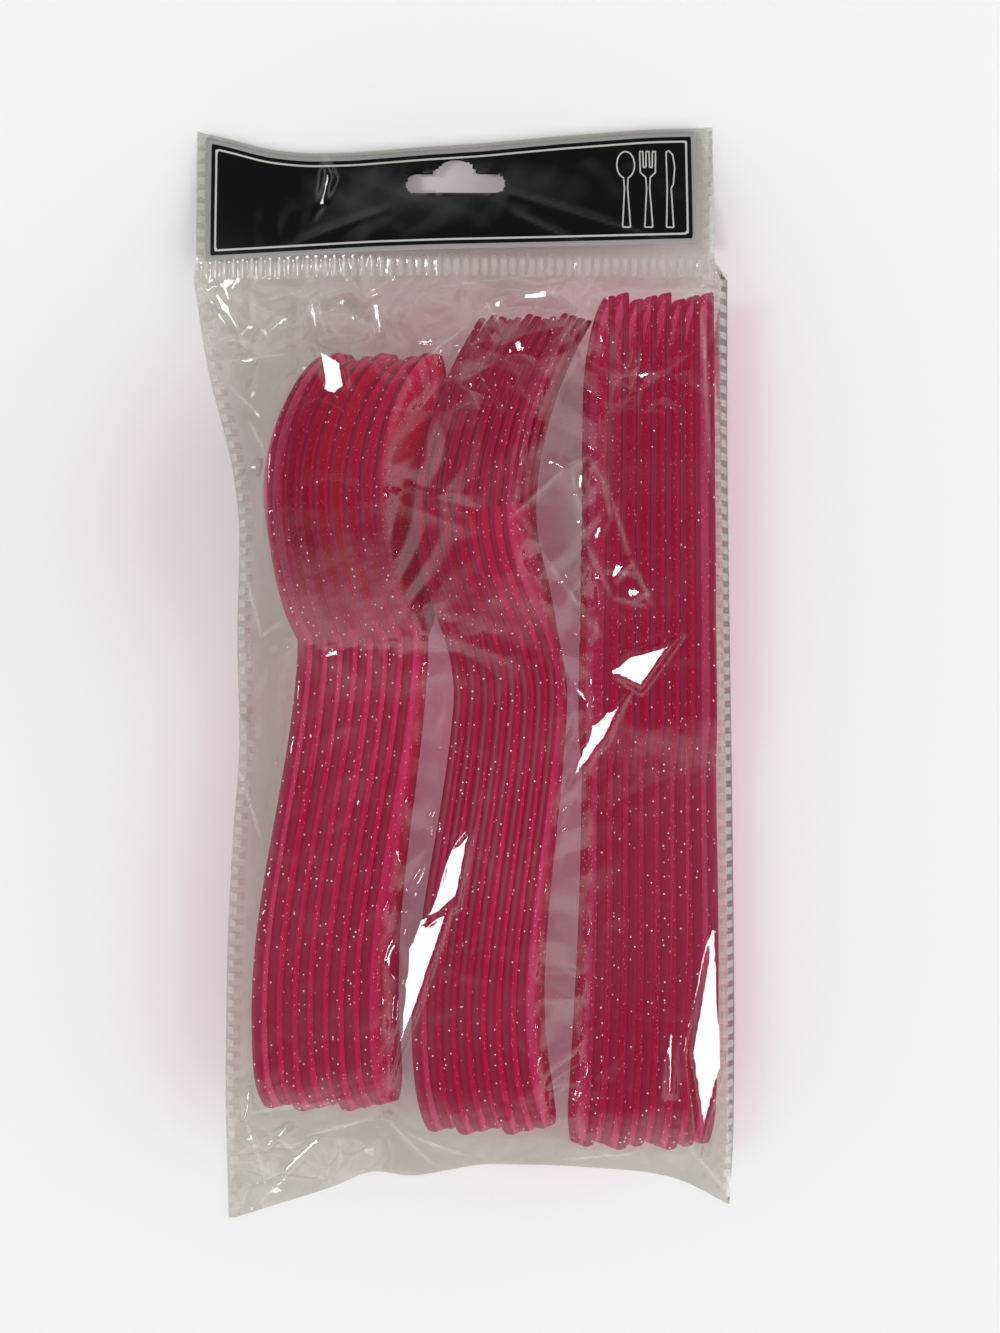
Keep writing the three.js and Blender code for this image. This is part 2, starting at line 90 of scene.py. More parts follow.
def node(nodes, kind, **values):
    made = nodes.new(kind)
    for key, value in values.items():
        if hasattr(made, key):
            setattr(made, key, value)
        else:
            made.inputs[key.replace("_", " ")].default_value = value
    return made


def attribute(nodes, name):
    return node(nodes, "ShaderNodeAttribute", attribute_name=name).outputs["Fac"]


def mathNode(nodes, links, operation, *values):
    made = nodes.new("ShaderNodeMath")
    made.operation = operation
    for k, value in enumerate(values):
        if hasattr(value, "is_output"):
            links.new(value, made.inputs[k])
        else:
            made.inputs[k].default_value = value
    return made.outputs[0]


def mixColour(nodes, links, factor, a, b):
    made = nodes.new("ShaderNodeMix")
    made.data_type = "RGBA"
    for socket, value in ((made.inputs[0], factor), (made.inputs[6], a), (made.inputs[7], b)):
        if hasattr(value, "is_output"):
            links.new(value, socket)
        else:
            socket.default_value = value
    return made.outputs[2]


def mixShader(nodes, links, factor, a, b):
    made = node(nodes, "ShaderNodeMixShader")
    for k, socket in enumerate((factor, a, b)):
        links.new(socket, made.inputs[k])
    return made.outputs[0]


# Shadows and soft bounces pass through as one plain colour, which keeps the many clear layers quick to render.
def plainShade(nodes, links, shader, colour):
    rays = node(nodes, "ShaderNodeLightPath")
    shade = node(nodes, "ShaderNodeBsdfTransparent", Color=colour)
    soft = mathNode(nodes, links, "MAXIMUM", rays.outputs["Is Shadow Ray"], rays.outputs["Is Diffuse Ray"])
    return mixShader(nodes, links, soft, shader, shade.outputs[0])


# Translucent crimson plastic with glitter moulded in
plasticLook = {
    "faceColour": (0.78, 0.030, 0.19, 1),
    # The rim's colour, tint and opacity paint shade along each piece's edges
    "rimShadeColour": (0.26, 0.004, 0.045, 1),
    "throughColour": (0.99, 0.53, 0.76, 1),
    "throughRimShade": (0.90, 0.26, 0.50, 1),
    "shadeColour": (0.97, 0.62, 0.80, 1),
    "opacity": 0.38,
    "rimShadeOpacity": 0.8,
    "roughness": 0.3,
    "specular": 0.2,
    "speckSpacing": 1.25,
    "speckSize": 0.155,
    "speckSkip": 0.5,
    "speckColour": (1.0, 0.82, 0.88, 1),
}


def plasticMaterial():
    look = plasticLook
    material, nodes, links = makeMaterial("crimson glitter plastic")
    out = node(nodes, "ShaderNodeOutputMaterial")
    coords = node(nodes, "ShaderNodeTexCoord")
    rim = attribute(nodes, "rim")
    cells = node(nodes, "ShaderNodeTexVoronoi", Scale=1 / (look["speckSpacing"] * mm))
    links.new(coords.outputs["Object"], cells.inputs["Vector"])
    near = mathNode(nodes, links, "LESS_THAN", cells.outputs["Distance"], look["speckSize"])
    channel = node(nodes, "ShaderNodeSeparateColor")
    links.new(cells.outputs["Color"], channel.inputs[0])
    chosen = mathNode(nodes, links, "GREATER_THAN", channel.outputs[0], look["speckSkip"])
    speck = mathNode(nodes, links, "MULTIPLY", near, chosen)
    # Painted shade: along the edges the rim mask makes the plastic darker, its tint deeper and its opacity higher
    base = mixColour(nodes, links, rim, look["faceColour"], look["rimShadeColour"])
    base = mixColour(nodes, links, speck, base, look["speckColour"])
    body = node(nodes, "ShaderNodeBsdfPrincipled", Roughness=look["roughness"], Specular_IOR_Level=look["specular"])
    links.new(base, body.inputs["Base Color"])
    through = node(nodes, "ShaderNodeBsdfTransparent")
    links.new(mixColour(nodes, links, rim, look["throughColour"], look["throughRimShade"]), through.inputs[0])
    rimMore = look["rimShadeOpacity"] - look["opacity"]
    rimOpaque = mathNode(nodes, links, "MULTIPLY_ADD", rim, rimMore, look["opacity"])
    opaque = mathNode(nodes, links, "MAXIMUM", rimOpaque, speck)
    mix = mixShader(nodes, links, opaque, through.outputs[0], body.outputs[0])
    links.new(plainShade(nodes, links, mix, look["shadeColour"]), out.inputs[0])
    return material


plastic = plasticMaterial()

# What every moulded piece shares, in millimetres and degrees
moulding = {
    "pieces": 8, "web": 1.3, "ribDepth": 2.3, "ribWidth": 1.5, "ribDrop": 0.02,
    "edgeRadius": 0.5, "endRadius": 9.0, "endRoundness": 0.7, "endSqueeze": 0.25, "tipReach": 9.0,
    "rimWidth": 0.7, "rimFades": 1.5, "sharpAngle": 50,
}


# Height along a piece: turned-up end, low of the handle, crown at the neck, low of the head, turned-up tip.
def centreLine(s, length, endRise, crownAt, crownRise, headAt, headRise, tipRise):
    lowAt = crownAt / 3
    height = endRise * np.clip(1 - s / lowAt, 0, 1) ** 2
    height = np.where(s >= lowAt, crownRise * smoothStep(s, lowAt, crownAt), height)
    height = np.where(s >= crownAt, lerp(crownRise, headRise, smoothStep(s, crownAt, headAt)), height)
    return np.where(s >= headAt, headRise + (tipRise - headRise) * ((s - headAt) / (length - headAt)) ** 2, height)


def handleHalf(s, endWidth, neckWidth, neckAt):
    taper = lerp(endWidth, neckWidth, smoothStep(s, moulding["endRadius"], neckAt)) / 2
    corner = np.clip(1 - s / moulding["endRadius"], 0, 1)
    return taper * np.sqrt(1 - moulding["endRoundness"] * corner**2)


# A moulded piece is one closed section swept along its length: a dished top, round edges, a rib hanging at each
# edge and a thin web between. At both ends the section shrinks along a quarter circle and closes.
def mouldedPoints(s, left, right, line, dish, ribShare, web):
    topSteps, edgeSteps, ribSteps, webSteps, edgeFrom = 11, 4, 7, 9, 75
    depth = web + moulding["ribDrop"] + (moulding["ribDepth"] - web) * ribShare
    half, middle = (right - left) / 2, (right + left) / 2
    ribWidth = np.minimum(moulding["ribWidth"], half / 2)
    radius = np.minimum(moulding["edgeRadius"], ribWidth / 2)
    reach = moulding["edgeRadius"]
    fromEnd = np.clip(np.minimum(s - s[0], s[-1] - s) / reach, 0, 1)
    squeeze = lerp(moulding["endSqueeze"], 1, np.sqrt(1 - (1 - fromEnd) ** 2))
    inset = reach * (1 - squeeze)
    across = np.linspace(-1, 1, topSteps)[:, None]
    turn = np.radians(np.linspace(edgeFrom, 0, edgeSteps))[:, None]
    under = np.radians(np.linspace(0, -180, ribSteps))[:, None]
    low = np.linspace(1, -1, webSteps)[:, None]
    flat = half - radius
    rightX = [half - radius + radius * np.cos(turn), half - ribWidth / 2 + ribWidth / 2 * np.cos(under)]
    ribZ = -(depth - ribWidth / 2) + ribWidth / 2 * np.sin(under)
    ribZ = np.where(under < -math.pi / 2, np.minimum(ribZ, -web), ribZ)
    ribZ = np.minimum(ribZ, -radius)
    rightZ = [-radius + radius * np.sin(turn), ribZ]
    xs = np.concatenate([across * flat, *rightX, low * (half - ribWidth), -rightX[1][::-1], -rightX[0][::-1]])
    zs = np.concatenate([0 * across * flat, *rightZ, -web + 0 * low * half, rightZ[1][::-1], rightZ[0][::-1]])
    edge = np.abs(xs) / half
    zs = (zs + web / 2) * squeeze - web / 2
    xs = xs * (half - inset) / half
    zs = zs + line - dish * (1 - np.clip(edge, 0, 1) ** 2)
    points = np.stack([middle + xs, s + 0 * xs, zs], axis=-1).transpose(1, 0, 2)
    rows, columns = points.shape[:2]
    flatPoints = points.reshape(-1, 3)
    faces = gridFaces(rows, columns, closed=True)[:, ::-1].tolist()
    ends = np.stack([points[0].mean(axis=0), points[-1].mean(axis=0)])
    first = rows * columns
    ring = np.arange(columns)
    after = (ring + 1) % columns
    faces += np.stack([ring, after, 0 * ring + first], axis=1).tolist()
    last = (rows - 1) * columns
    faces += np.stack([last + after, last + ring, 0 * ring + first + 1], axis=1).tolist()
    return np.concatenate([flatPoints, ends]), faces


def stationsFor(length, spacing):
    endSteps, tipSteps = 5, 9
    reach = moulding["tipReach"]
    ends = moulding["edgeRadius"] * (1 - np.cos(np.linspace(0, math.pi / 2, endSteps)))
    tip = length - reach * (1 - np.sin(np.linspace(0, math.pi / 2, tipSteps)))
    inner = np.arange(ends[-1] + spacing / 2, length - reach, spacing)
    return np.unique(np.concatenate([ends, inner, tip, length - ends]).round(5))


# The rim is 1 along the outline and falls to 0 inside it. There the plastic is painted darker and denser: painted shade
# along the edges.
def rimFrom(inside):
    return 1 - smoothStep(inside, moulding["rimWidth"], moulding["rimFades"])


spoon = {
    "length": 168.0, "endWidth": 17.0, "neckWidth": 9.0, "neckAt": 108.0, "bowlWidth": 33.0, "bowlDepth": 7.0,
    "widestAt": 140.0, "bowlBlend": 3.0, "bluntTip": 0.6, "endRise": 3.5, "crownRise": 4.5, "tipRise": 4.0,
    "lean": 66.0, "yaw": -3.7, "fan": 0.05, "spacing": 1.5,
}


def spoonPoints():
    p = spoon
    s = stationsFor(p["length"], p["spacing"])
    tipReach = p["length"] + p["bluntTip"] - p["widestAt"]
    neckReach = p["widestAt"] - p["neckAt"] + p["bowlBlend"]
    reach = np.where(s > p["widestAt"], tipReach, neckReach)
    fullness = np.clip(1 - ((s - p["widestAt"]) / reach) ** 2, 0, 1)
    handle = np.where(s < p["widestAt"], handleHalf(s, p["endWidth"], p["neckWidth"], p["neckAt"]), 0)
    half = np.hypot(handle * (1 - fullness), p["bowlWidth"] / 2 * np.sqrt(fullness))
    crownAt = p["neckAt"] - moulding["endRadius"]
    line = centreLine(s, p["length"], p["endRise"], crownAt, p["crownRise"], p["widestAt"], 0, p["tipRise"])
    dish = np.where(s > p["neckAt"], p["bowlDepth"] * fullness, 0)
    ribShare = 1 - smoothStep(s, p["neckAt"], p["widestAt"])
    points, faces = mouldedPoints(s, -half, half, line, dish, ribShare, moulding["web"])
    return points, faces, rimFrom(np.interp(points[:, 1], s, half) - np.abs(points[:, 0]))


fork = {
    "length": 181.0, "endWidth": 16.0, "neckWidth": 8.5, "neckAt": 104.0, "headWidth": 23.0, "headTaper": 0.12,
    "shoulder": 22.0, "endRise": 5.0, "crownRise": 3.5, "headDrop": 8.0, "tipRise": 4.0, "tines": 4,
    "tineLength": 42.0, "slotWidth": 2.4, "slotMouth": 4.2, "pointLength": 12.0, "slotRim": (0.3, 1.0),
    "easeWidth": 0.25, "easeAngle": 55, "lean": 72.0, "yaw": -4.2, "fan": 0.26, "spacing": 1.5,
}


# Slot between two tines: round root, straight sides, mouth opening towards the points.
def slotCutter(centre):
    p = fork
    rootSteps, past, tall = 9, 9, 30
    half, mouth = p["slotWidth"] / 2, p["slotMouth"] / 2
    turn = np.linspace(math.pi, 2 * math.pi, rootSteps)
    rootY = p["length"] - p["tineLength"] + half + half * np.sin(turn)
    x = np.r_[half * np.cos(turn), half, mouth, mouth]
    y = np.r_[rootY, p["length"] - p["pointLength"], p["length"], p["length"] + past]
    x, y = np.concatenate([x, -x[-3:][::-1]]) + centre, np.concatenate([y, y[-3:][::-1]])
    count = len(x)
    points = np.concatenate([np.stack([x, y, 0 * x + z], axis=1) for z in (-tall, tall)])
    walls = gridFaces(2, count, closed=True).tolist()
    return points, walls + [list(range(count))[::-1], list(range(count, 2 * count))]


def forkPoints():
    p = fork
    s = stationsFor(p["length"], p["spacing"])
    headAt = p["length"] - p["tineLength"]
    handle = handleHalf(s, p["endWidth"], p["neckWidth"], p["neckAt"])
    head = p["headWidth"] / 2 * (1 - p["headTaper"] * smoothStep(s, headAt, p["length"]))
    widening = smoothStep(s, p["neckAt"], p["neckAt"] + p["shoulder"])
    half = lerp(handle, head, widening)
    crownAt = p["neckAt"] - moulding["endRadius"]
    line = centreLine(s, p["length"], p["endRise"], crownAt, p["crownRise"], headAt, -p["headDrop"], p["tipRise"])
    blankPoints, blankFaces = mouldedPoints(s, -half, half, line, 0 * s, 1 - widening, moulding["web"])
    blank = newMesh("fork blank", blankPoints, blankFaces, [])
    pitch = (p["headWidth"] + p["slotWidth"]) / p["tines"]
    centres = (np.arange(1, p["tines"]) - p["tines"] / 2) * pitch
    cutters = []
    for centre in centres:
        points, faces = slotCutter(centre)
        cutters.append(newMesh("slot cutter", points, faces, []))
        cut = blank.modifiers.new("slot", "BOOLEAN")
        cut.operation, cut.solver, cut.object = "DIFFERENCE", "EXACT", cutters[-1]
    ease = blank.modifiers.new("ease", "BEVEL")
    ease.width, ease.segments = p["easeWidth"] * mm, 2
    ease.limit_method, ease.angle_limit = "ANGLE", math.radians(p["easeAngle"])
    made = bpy.data.meshes.new_from_object(blank.evaluated_get(bpy.context.evaluated_depsgraph_get()))
    points = np.empty(len(made.vertices) * 3)
    made.vertices.foreach_get("co", points)
    points = points.reshape(-1, 3) / mm
    faces = [list(face.vertices) for face in made.polygons]
    for piece in [blank, *cutters]:
        bpy.data.objects.remove(piece)
    rim = rimFrom(np.interp(points[:, 1], s, half) - np.abs(points[:, 0]))
    # The sides of the tines get the same painted edge shade as the outline
    slotAt = [headAt, p["length"] - p["pointLength"], p["length"]]
    slotHalf = np.interp(points[:, 1], slotAt, [p["slotWidth"] / 2, p["slotWidth"] / 2, p["slotMouth"] / 2])
    beside = np.min(np.abs(points[:, 0][:, None] - centres), axis=1) - slotHalf
    slotRim = 1 - smoothStep(beside, *p["slotRim"])
    return points, faces, np.maximum(rim, np.where(points[:, 1] > headAt, slotRim, 0))


knife = {
    "length": 190.0, "endWidth": 16.0, "neckWidth": 12.0, "neckAt": 82.0, "bladeWidth": 18.0, "shoulder": 14.0,
    "tipLength": 24.0, "tipRoundness": 0.97, "thickness": 1.4, "endRise": 2.0, "teeth": 14, "toothPitch": 3.0,
    "toothDepth": 0.8, "toothStart": 112.0, "toothSteps": 6, "lean": -72.0, "yaw": -0.8, "fan": 0.18,
    "spacing": 1.6,
}


# Blade edge: a triangle wave for the teeth, and at the tip a quarter of an ellipse up to the spine.
def knifePoints():
    p = knife
    toothEnd = p["toothStart"] + p["teeth"] * p["toothPitch"]
    step = p["toothPitch"] / p["toothSteps"]
    toothStations = np.arange(p["toothStart"], toothEnd + step / 2, step)
    s = np.unique(np.r_[stationsFor(p["length"], p["spacing"]), toothStations].round(4))
    bladeAt, tipAt = p["neckAt"] + p["shoulder"], p["length"] - p["tipLength"]
    widening = smoothStep(s, p["neckAt"], bladeAt)
    half = lerp(handleHalf(s, p["endWidth"], p["neckWidth"], p["neckAt"]), p["bladeWidth"] / 2, widening)
    tipCurve = np.sqrt(1 - (p["tipRoundness"] * np.clip(s - tipAt, 0, None) / p["tipLength"]) ** 2)
    inTeeth = (s > p["toothStart"]) & (s < toothEnd)
    bite = p["toothDepth"] * (1 - np.abs(2 * np.mod((s - p["toothStart"]) / p["toothPitch"], 1) - 1)) * inTeeth
    left = half * (1 - 2 * tipCurve) + bite
    line = p["endRise"] * np.clip(1 - 3 * s / p["length"], 0, None) ** 2
    points, faces = mouldedPoints(s, left, half, line, 0 * s, 1 - widening, p["thickness"])
    leftEdge, rightEdge = np.interp(points[:, 1], s, left), np.interp(points[:, 1], s, half)
    return points, faces, rimFrom(np.minimum(points[:, 0] - leftEdge, rightEdge - points[:, 0]))


def turnAbout(axis, angle):
    c, s = math.cos(angle), math.sin(angle)
    return {"x": np.array([[1, 0, 0], [0, c, -s], [0, s, c]]), "y": np.array([[c, 0, s], [0, 1, 0], [-s, 0, c]]),
            "z": np.array([[c, -s, 0], [s, c, 0], [0, 0, 1]])}[axis]


# One row: every piece leans over like a book, its head lifted by its extra width, and sits where the frame has it.
def layRow(name, look, shape, headWidth, headAt):
    points, faces, rim = shape
    lean = math.radians(look["lean"])
    lift = math.atan2((headWidth - look["endWidth"]) / 2 * abs(math.sin(lean)), headAt)
    laid = []
    for k in range(moulding["pieces"]):
        target = f"{name}_{k + 1}"
        yaw = math.radians(look["yaw"] + look["fan"] * k)
        turned = points @ (turnAbout("z", yaw) @ turnAbout("x", lift) @ turnAbout("y", lean)).T
        low, high = (np.array(corner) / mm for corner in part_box(target))
        turned += (low + high) / 2 - (turned.min(axis=0) + turned.max(axis=0)) / 2
        piece = newMesh(f"{name}Piece{k + 1}", turned, faces, [plastic])
        piece.data.set_sharp_from_angle(angle=math.radians(moulding["sharpAngle"]))
        addValue(piece, "rim", rim)
        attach(piece, "root")
        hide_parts(target)
        laid.append(turned)
    print(f"{name} row: {len(points)} points a piece")
    return np.concatenate(laid)


contents = np.concatenate([
    layRow("spoon", spoon, spoonPoints(), spoon["bowlWidth"], spoon["widestAt"]),
    layRow("fork", fork, forkPoints(), fork["headWidth"], fork["length"] - fork["tineLength"]),
    layRow("knife", knife, knifePoints(), knife["bladeWidth"], knife["length"] - knife["tipLength"]),
])

# Studio, in metres and watts
studio = {
    "floor": 0.97, "floorSize": 4.0, "floorDrop": 0.0002,
    "worldOverhead": 0.06, "worldHorizon": 1.5, "worldLean": 0.45, "worldFrom": 0.15, "worldTo": 0.95,
    "lamps": {
        "key": {"place": (-0.60, 0.12, 0.95), "size": 0.20, "power": 2.4, "mirrored": True},
        "fill": {"place": (1.5, 0.2, 0.6), "size": 1.6, "power": 16.5, "mirrored": False},
        "low": {"place": (-0.25, -0.95, 0.80), "size": 0.45, "power": 0.9, "mirrored": False},
    },
    "cameraHeight": 0.8, "cameraAt": (0.00818, 0.00168), "aimHeight": 0.012, "viewHeight": 0.2986, "sensor": 36,
}

# The bag, in millimetres: its outline and heights, its hang slot, and how the film wrinkles and folds
bag = {
    "across": 208, "along": 345, "headerRows": 50, "backEvery": 3,
    "leftEdge": ((-124.5, -98, -62, -39, -17, 8, 34, 48, 68, 89.5),
                 (-53.5, -54, -53.5, -52.4, -50.6, -51.3, -50.6, -52.4, -57.9, -61.2)),
    "rightEdge": ((-120.5, -106, -73, -28, 17, 61, 89.5), (60.3, 61.2, 61.2, 60.7, 60.0, 59.4, 59.2)),
    "bottomEdge": ((-52, -30, -21, -12, 4, 22, 40, 48, 53, 60),
                   (-123.5, -116.7, -112.6, -114.3, -111.3, -111.7, -113, -114.5, -116.7, -120.5)),
    "bottomLeft": -121, "bottomRight": -119, "bottomHeight": 0.6, "lowest": 0.55,
    "sideBottom": 0.5, "sideRise": 4.0, "sideRises": (0.02, 0.2), "sideTurns": (0.75, 1),
    "sealBottom": 89.5, "sealTop": 92.5, "sealRise": ((-61, -20, -5, 20, 60), (4, 13.5, 14, 12, 10)),
    "headerLeft": -60.6, "headerRight": 56.4, "topHeight": 0.8, "topReach": 1.15,
    "topEdge": ((-60.6, -52, -45, -36, -25, -10, 4, 22, 42, 56.4),
                (123.2, 121.2, 119.2, 118.2, 118.4, 119.6, 120.5, 122.2, 123.7, 124.0)),
    "overCard": 0.75, "cardPlay": 0.4, "pocketDepth": 1.5,
    "clearance": 0.35, "touching": 0.1, "sag": 0.004, "rounds": ((4, 500), (2, 300), (1, 150)),
    "backHeight": 0.12, "backRound": 8, "backRise": 22,
    "slotCentre": (-1.9, 110.8), "slotBar": 22.4, "slotBarHeight": 4.8, "slotHump": 5.6, "slotHeight": 8.2,
    "slotSnap": 0.36, "weldFrom": 0.5, "weldTo": 1.9,
    "crinkle": 0.34, "broadWrinkle": 2.6, "fineWrinkle": 1.2, "heldWrinkle": 0.25,
    "freeGap": (0.2, 3), "fadeAcross": 12, "fadeAlong": 14,
    "crumples": ((8, 9, 0.34, 1), (55, 11, 0.34, 2), (-38, 8, 0.32, 3), (100, 13, 0.30, 4), (-12, 15, 0.30, 5)),
    "crumpleBend": 1.1, "crumplePatch": (0.05, 0.4), "heldCrumple": 0.12,
    "creaseHeight": 0.6, "creaseEnds": 0.6,
    "facetBorder": 1.1, "facetInner": 0.3, "facetRough": 0.06,
    "headerCrumple": 0.12, "headerCrease": 0.8, "headerFadeUp": 6, "headerFadeAcross": 20,
    # Fold width and the fold shares set the painted highlight along the crease crests
    "foldWidth": 0.6, "headerFold": 0.12, "fullFold": 0.45, "fullLeft": -44, "fullRows": (-100, 70),
    "heldSlack": 0.12, "leastSlack": 0.35, "headerSlack": 0.03, "slackPatch": (0.0, 0.42),
    "heldLeft": -47, "heldRows": (-106, 58), "calmBorder": 0.8,
    "leastVeil": 0.25, "veilPatch": (-0.1, 0.45),
    "flatWidth": 0.122, "flatLength": 0.49,
}


# An edge is a line through its points, softened by a bell-shaped average.
def edgeCurve(y, pair):
    steps, spread = 400, 20
    fine = np.linspace(pair[0][0], pair[0][-1], steps)
    rough = np.interp(fine, *pair)
    kernel = np.hanning(2 * spread + 1)
    kernel /= kernel.sum()
    soft = np.convolve(np.pad(rough, spread, mode="reflect", reflect_type="odd"), kernel, mode="valid")
    return np.interp(y, fine, soft)


# Signed distance to the hang slot: a bar with round ends and a round hump over its middle.
def slotDistance(x, y):
    dx, dy = np.abs(x - bag["slotCentre"][0]), y - bag["slotCentre"][1]
    endRound = bag["slotBarHeight"] / 2
    bar = np.hypot(np.clip(dx - bag["slotBar"] / 2 + endRound, 0, None), dy) - endRound
    hump = np.hypot(dx, dy - (bag["slotHeight"] - bag["slotHump"] - endRound)) - bag["slotHump"]
    return np.minimum(bar, np.maximum(hump, -dy - endRound))


def snapToSlot(x, y):
    d = slotDistance(x, y)
    step = 0.01
    gx = (slotDistance(x + step, y) - d) / step
    gy = (slotDistance(x, y + step) - d) / step
    move = np.where(np.abs(d) < bag["slotSnap"], d, 0)
    return x - gx * move, y - gy * move


def dropSlot(points, faces):
    middle = points[faces].mean(axis=1)
    return faces[slotDistance(middle[:, 0], middle[:, 1]) > 0]


# Film grid: each row runs from the left to the right edge, from the bottom fold through the pouch, the cross seal
# and the header to its open top.
def filmGrid(across, along, headerRows):
    u = np.linspace(0, 1, across)
    v = np.linspace(0, 1, along)[:, None]
    leftFoot, rightFoot = edgeCurve(bag["bottomLeft"], bag["leftEdge"]), edgeCurve(bag["bottomRight"], bag["rightEdge"])
    xFold = lerp(leftFoot, rightFoot, u)
    fold = edgeCurve(np.clip(xFold, bag["bottomEdge"][0][0], bag["bottomEdge"][0][-1]), bag["bottomEdge"])
    y = lerp(fold, bag["sealBottom"], v)
    x = lerp(edgeCurve(y, bag["leftEdge"]), edgeCurve(y, bag["rightEdge"]), u)
    w = np.linspace(0, 1, headerRows)[:, None]
    xHeader = lerp(bag["headerLeft"], bag["headerRight"], u) + 0 * w
    top = edgeCurve(xHeader[0], bag["topEdge"])
    yHeader = lerp(bag["sealTop"], top, w)
    return u, v, x, y, w, xHeader, yHeader


def sealHeight(x):
    return edgeCurve(np.clip(x, bag["sealRise"][0][0], bag["sealRise"][0][-1]), bag["sealRise"])


def headerHeight(x, w):
    return lerp(sealHeight(x), bag["topHeight"], smoothStep(w, 0, bag["topReach"]))


# Film over the cutlery: a membrane pulled tight between the rim and the highest points below it, found by
# averaging neighbours again and again and lifting what sinks below the cutlery, from a coarse grid to a fine one.
def relax(height, floor, rim, rounds):
    for _ in range(rounds):
        inner = (height[:-2, 1:-1] + height[2:, 1:-1] + height[1:-1, :-2] + height[1:-1, 2:]) / 4 - bag["sag"]
        height[1:-1, 1:-1] = np.maximum(inner, floor[1:-1, 1:-1])
        height[0], height[-1], height[:, 0], height[:, -1] = rim
    return height


def grow(field, reach):
    grown = field.copy()
    for shift in range(1, reach + 1):
        grown[shift:] = np.maximum(grown[shift:], field[:-shift])
        grown[:-shift] = np.maximum(grown[:-shift], field[shift:])
    across = grown.copy()
    for shift in range(1, reach + 1):
        across[:, shift:] = np.maximum(across[:, shift:], grown[:, :-shift])
        across[:, :-shift] = np.maximum(across[:, :-shift], grown[:, shift:])
    return across


def resample(field, rows, columns):
    r = np.linspace(0, field.shape[0] - 1, rows)
    c = np.linspace(0, field.shape[1] - 1, columns)
    r0, c0 = np.minimum(r.astype(int), field.shape[0] - 2), np.minimum(c.astype(int), field.shape[1] - 2)
    fr, fc = (r - r0)[:, None], (c - c0)[None, :]
    top = lerp(field[r0][:, c0], field[r0][:, c0 + 1], fc)
    bottom = lerp(field[r0 + 1][:, c0], field[r0 + 1][:, c0 + 1], fc)
    return lerp(top, bottom, fr)


# Highest point of the cutlery in each cell of the film's grid, plus a clearance
def obstacle(x, y, along, across):
    nothing = -5.0
    bottom = y[0]
    column = np.full(len(contents), 0.5)
    for _ in range(3):
        fold = np.interp(column, np.linspace(0, 1, across), bottom)
        row = (contents[:, 1] - fold) / (bag["sealBottom"] - fold)
        level = np.clip(row, 0, 1) * (along - 1)
        left = np.interp(level, np.arange(along), x[:, 0])
        right = np.interp(level, np.arange(along), x[:, -1])
        column = np.clip((contents[:, 0] - left) / (right - left), 0, 1)
    field = np.full((along, across), nothing)
    i = np.clip(np.rint(row * (along - 1)).astype(int), 0, along - 1)
    j = np.clip(np.rint(column * (across - 1)).astype(int), 0, across - 1)
    np.maximum.at(field, (i, j), contents[:, 2] + bag["clearance"])
    return grow(field, 1)


# Flat facets pressed into the film, as corners in millimetres; each tilts halfway between the key lamp and the
# camera, so that it mirrors the lamp.
facets = [
    ((1.9, -34.5), (-1.2, -51.7), (-7.0, -54.0), (-2.6, -39.4)),
    ((-2.6, -51.7), (-9.7, -73.0), (-15.1, -86.9), (-12.4, -60.7)),
    ((47.4, 7.6), (39.5, -3.6), (32.4, 0.4), (36.8, 4.3)),
    ((36.2, -5.2), (31.7, -14.8), (23.2, -24.9), (28.3, -12.1)),
    ((56.3, -51.7), (57.9, -86.5), (53.0, -104.4), (50.3, -84.2)),
    ((45.6, -79.7), (47.2, -79.7), (46.7, -93.6), (45.1, -93.6)),
    ((-32.6, 72.6), (-26.5, 69.2), (-25.4, 62.5), (-29.9, 61.4)),
    ((-31.2, 115.8), (-29.4, 111.8), (-31.2, 106.2), (-32.8, 104.4)),
    ((27.5, 45.5), (26.5, 41.0), (24.8, 40.5), (25.2, 44.0)),
    ((31.5, 33.5), (30.2, 29.5), (28.6, 30.5), (29.4, 33.0)),
    ((36.8, 24.5), (34.0, 20.8), (32.4, 22.0), (34.6, 25.0)),
    ((40.5, 18.2), (38.2, 16.6), (36.0, 18.5), (38.5, 19.6)),
    ((21.0, 86.2), (18.0, 83.0), (11.0, 82.4), (14.0, 85.0)),
    ((9.5, 83.5), (8.0, 80.0), (6.0, 80.5), (7.0, 83.0)),
    ((-33.2, 84.5), (-32.2, 77.0), (-33.4, 76.0), (-34.6, 83.0)),
    ((-38.0, 79.5), (-44.0, 75.0), (-46.5, 75.4), (-40.0, 80.5)),
    ((-31.5, -104.5), (-40.0, -113.0), (-41.5, -112.0), (-33.5, -104.0)),
    ((-18.4, 83.5), (-17.8, 75.0), (-19.2, 75.0), (-20.6, 82.5)),
    ((-55.3, 86.5), (-50.0, 78.0), (-51.6, 77.2), (-57.0, 86.0)),
    ((-44.6, 47.0), (-45.2, 44.6), (-48.2, 44.8), (-47.6, 46.8)),
    ((-38.5, -101.5), (-44.5, -107.5), (-45.6, -106.6), (-39.8, -101.0)),
    ((-45.8, 71.0), (-46.6, 69.2), (-51.4, 69.4), (-50.6, 71.0)),
    ((-47.2, -92.5), (-48.4, -100.5), (-49.8, -100.0), (-48.6, -93.0)),
]

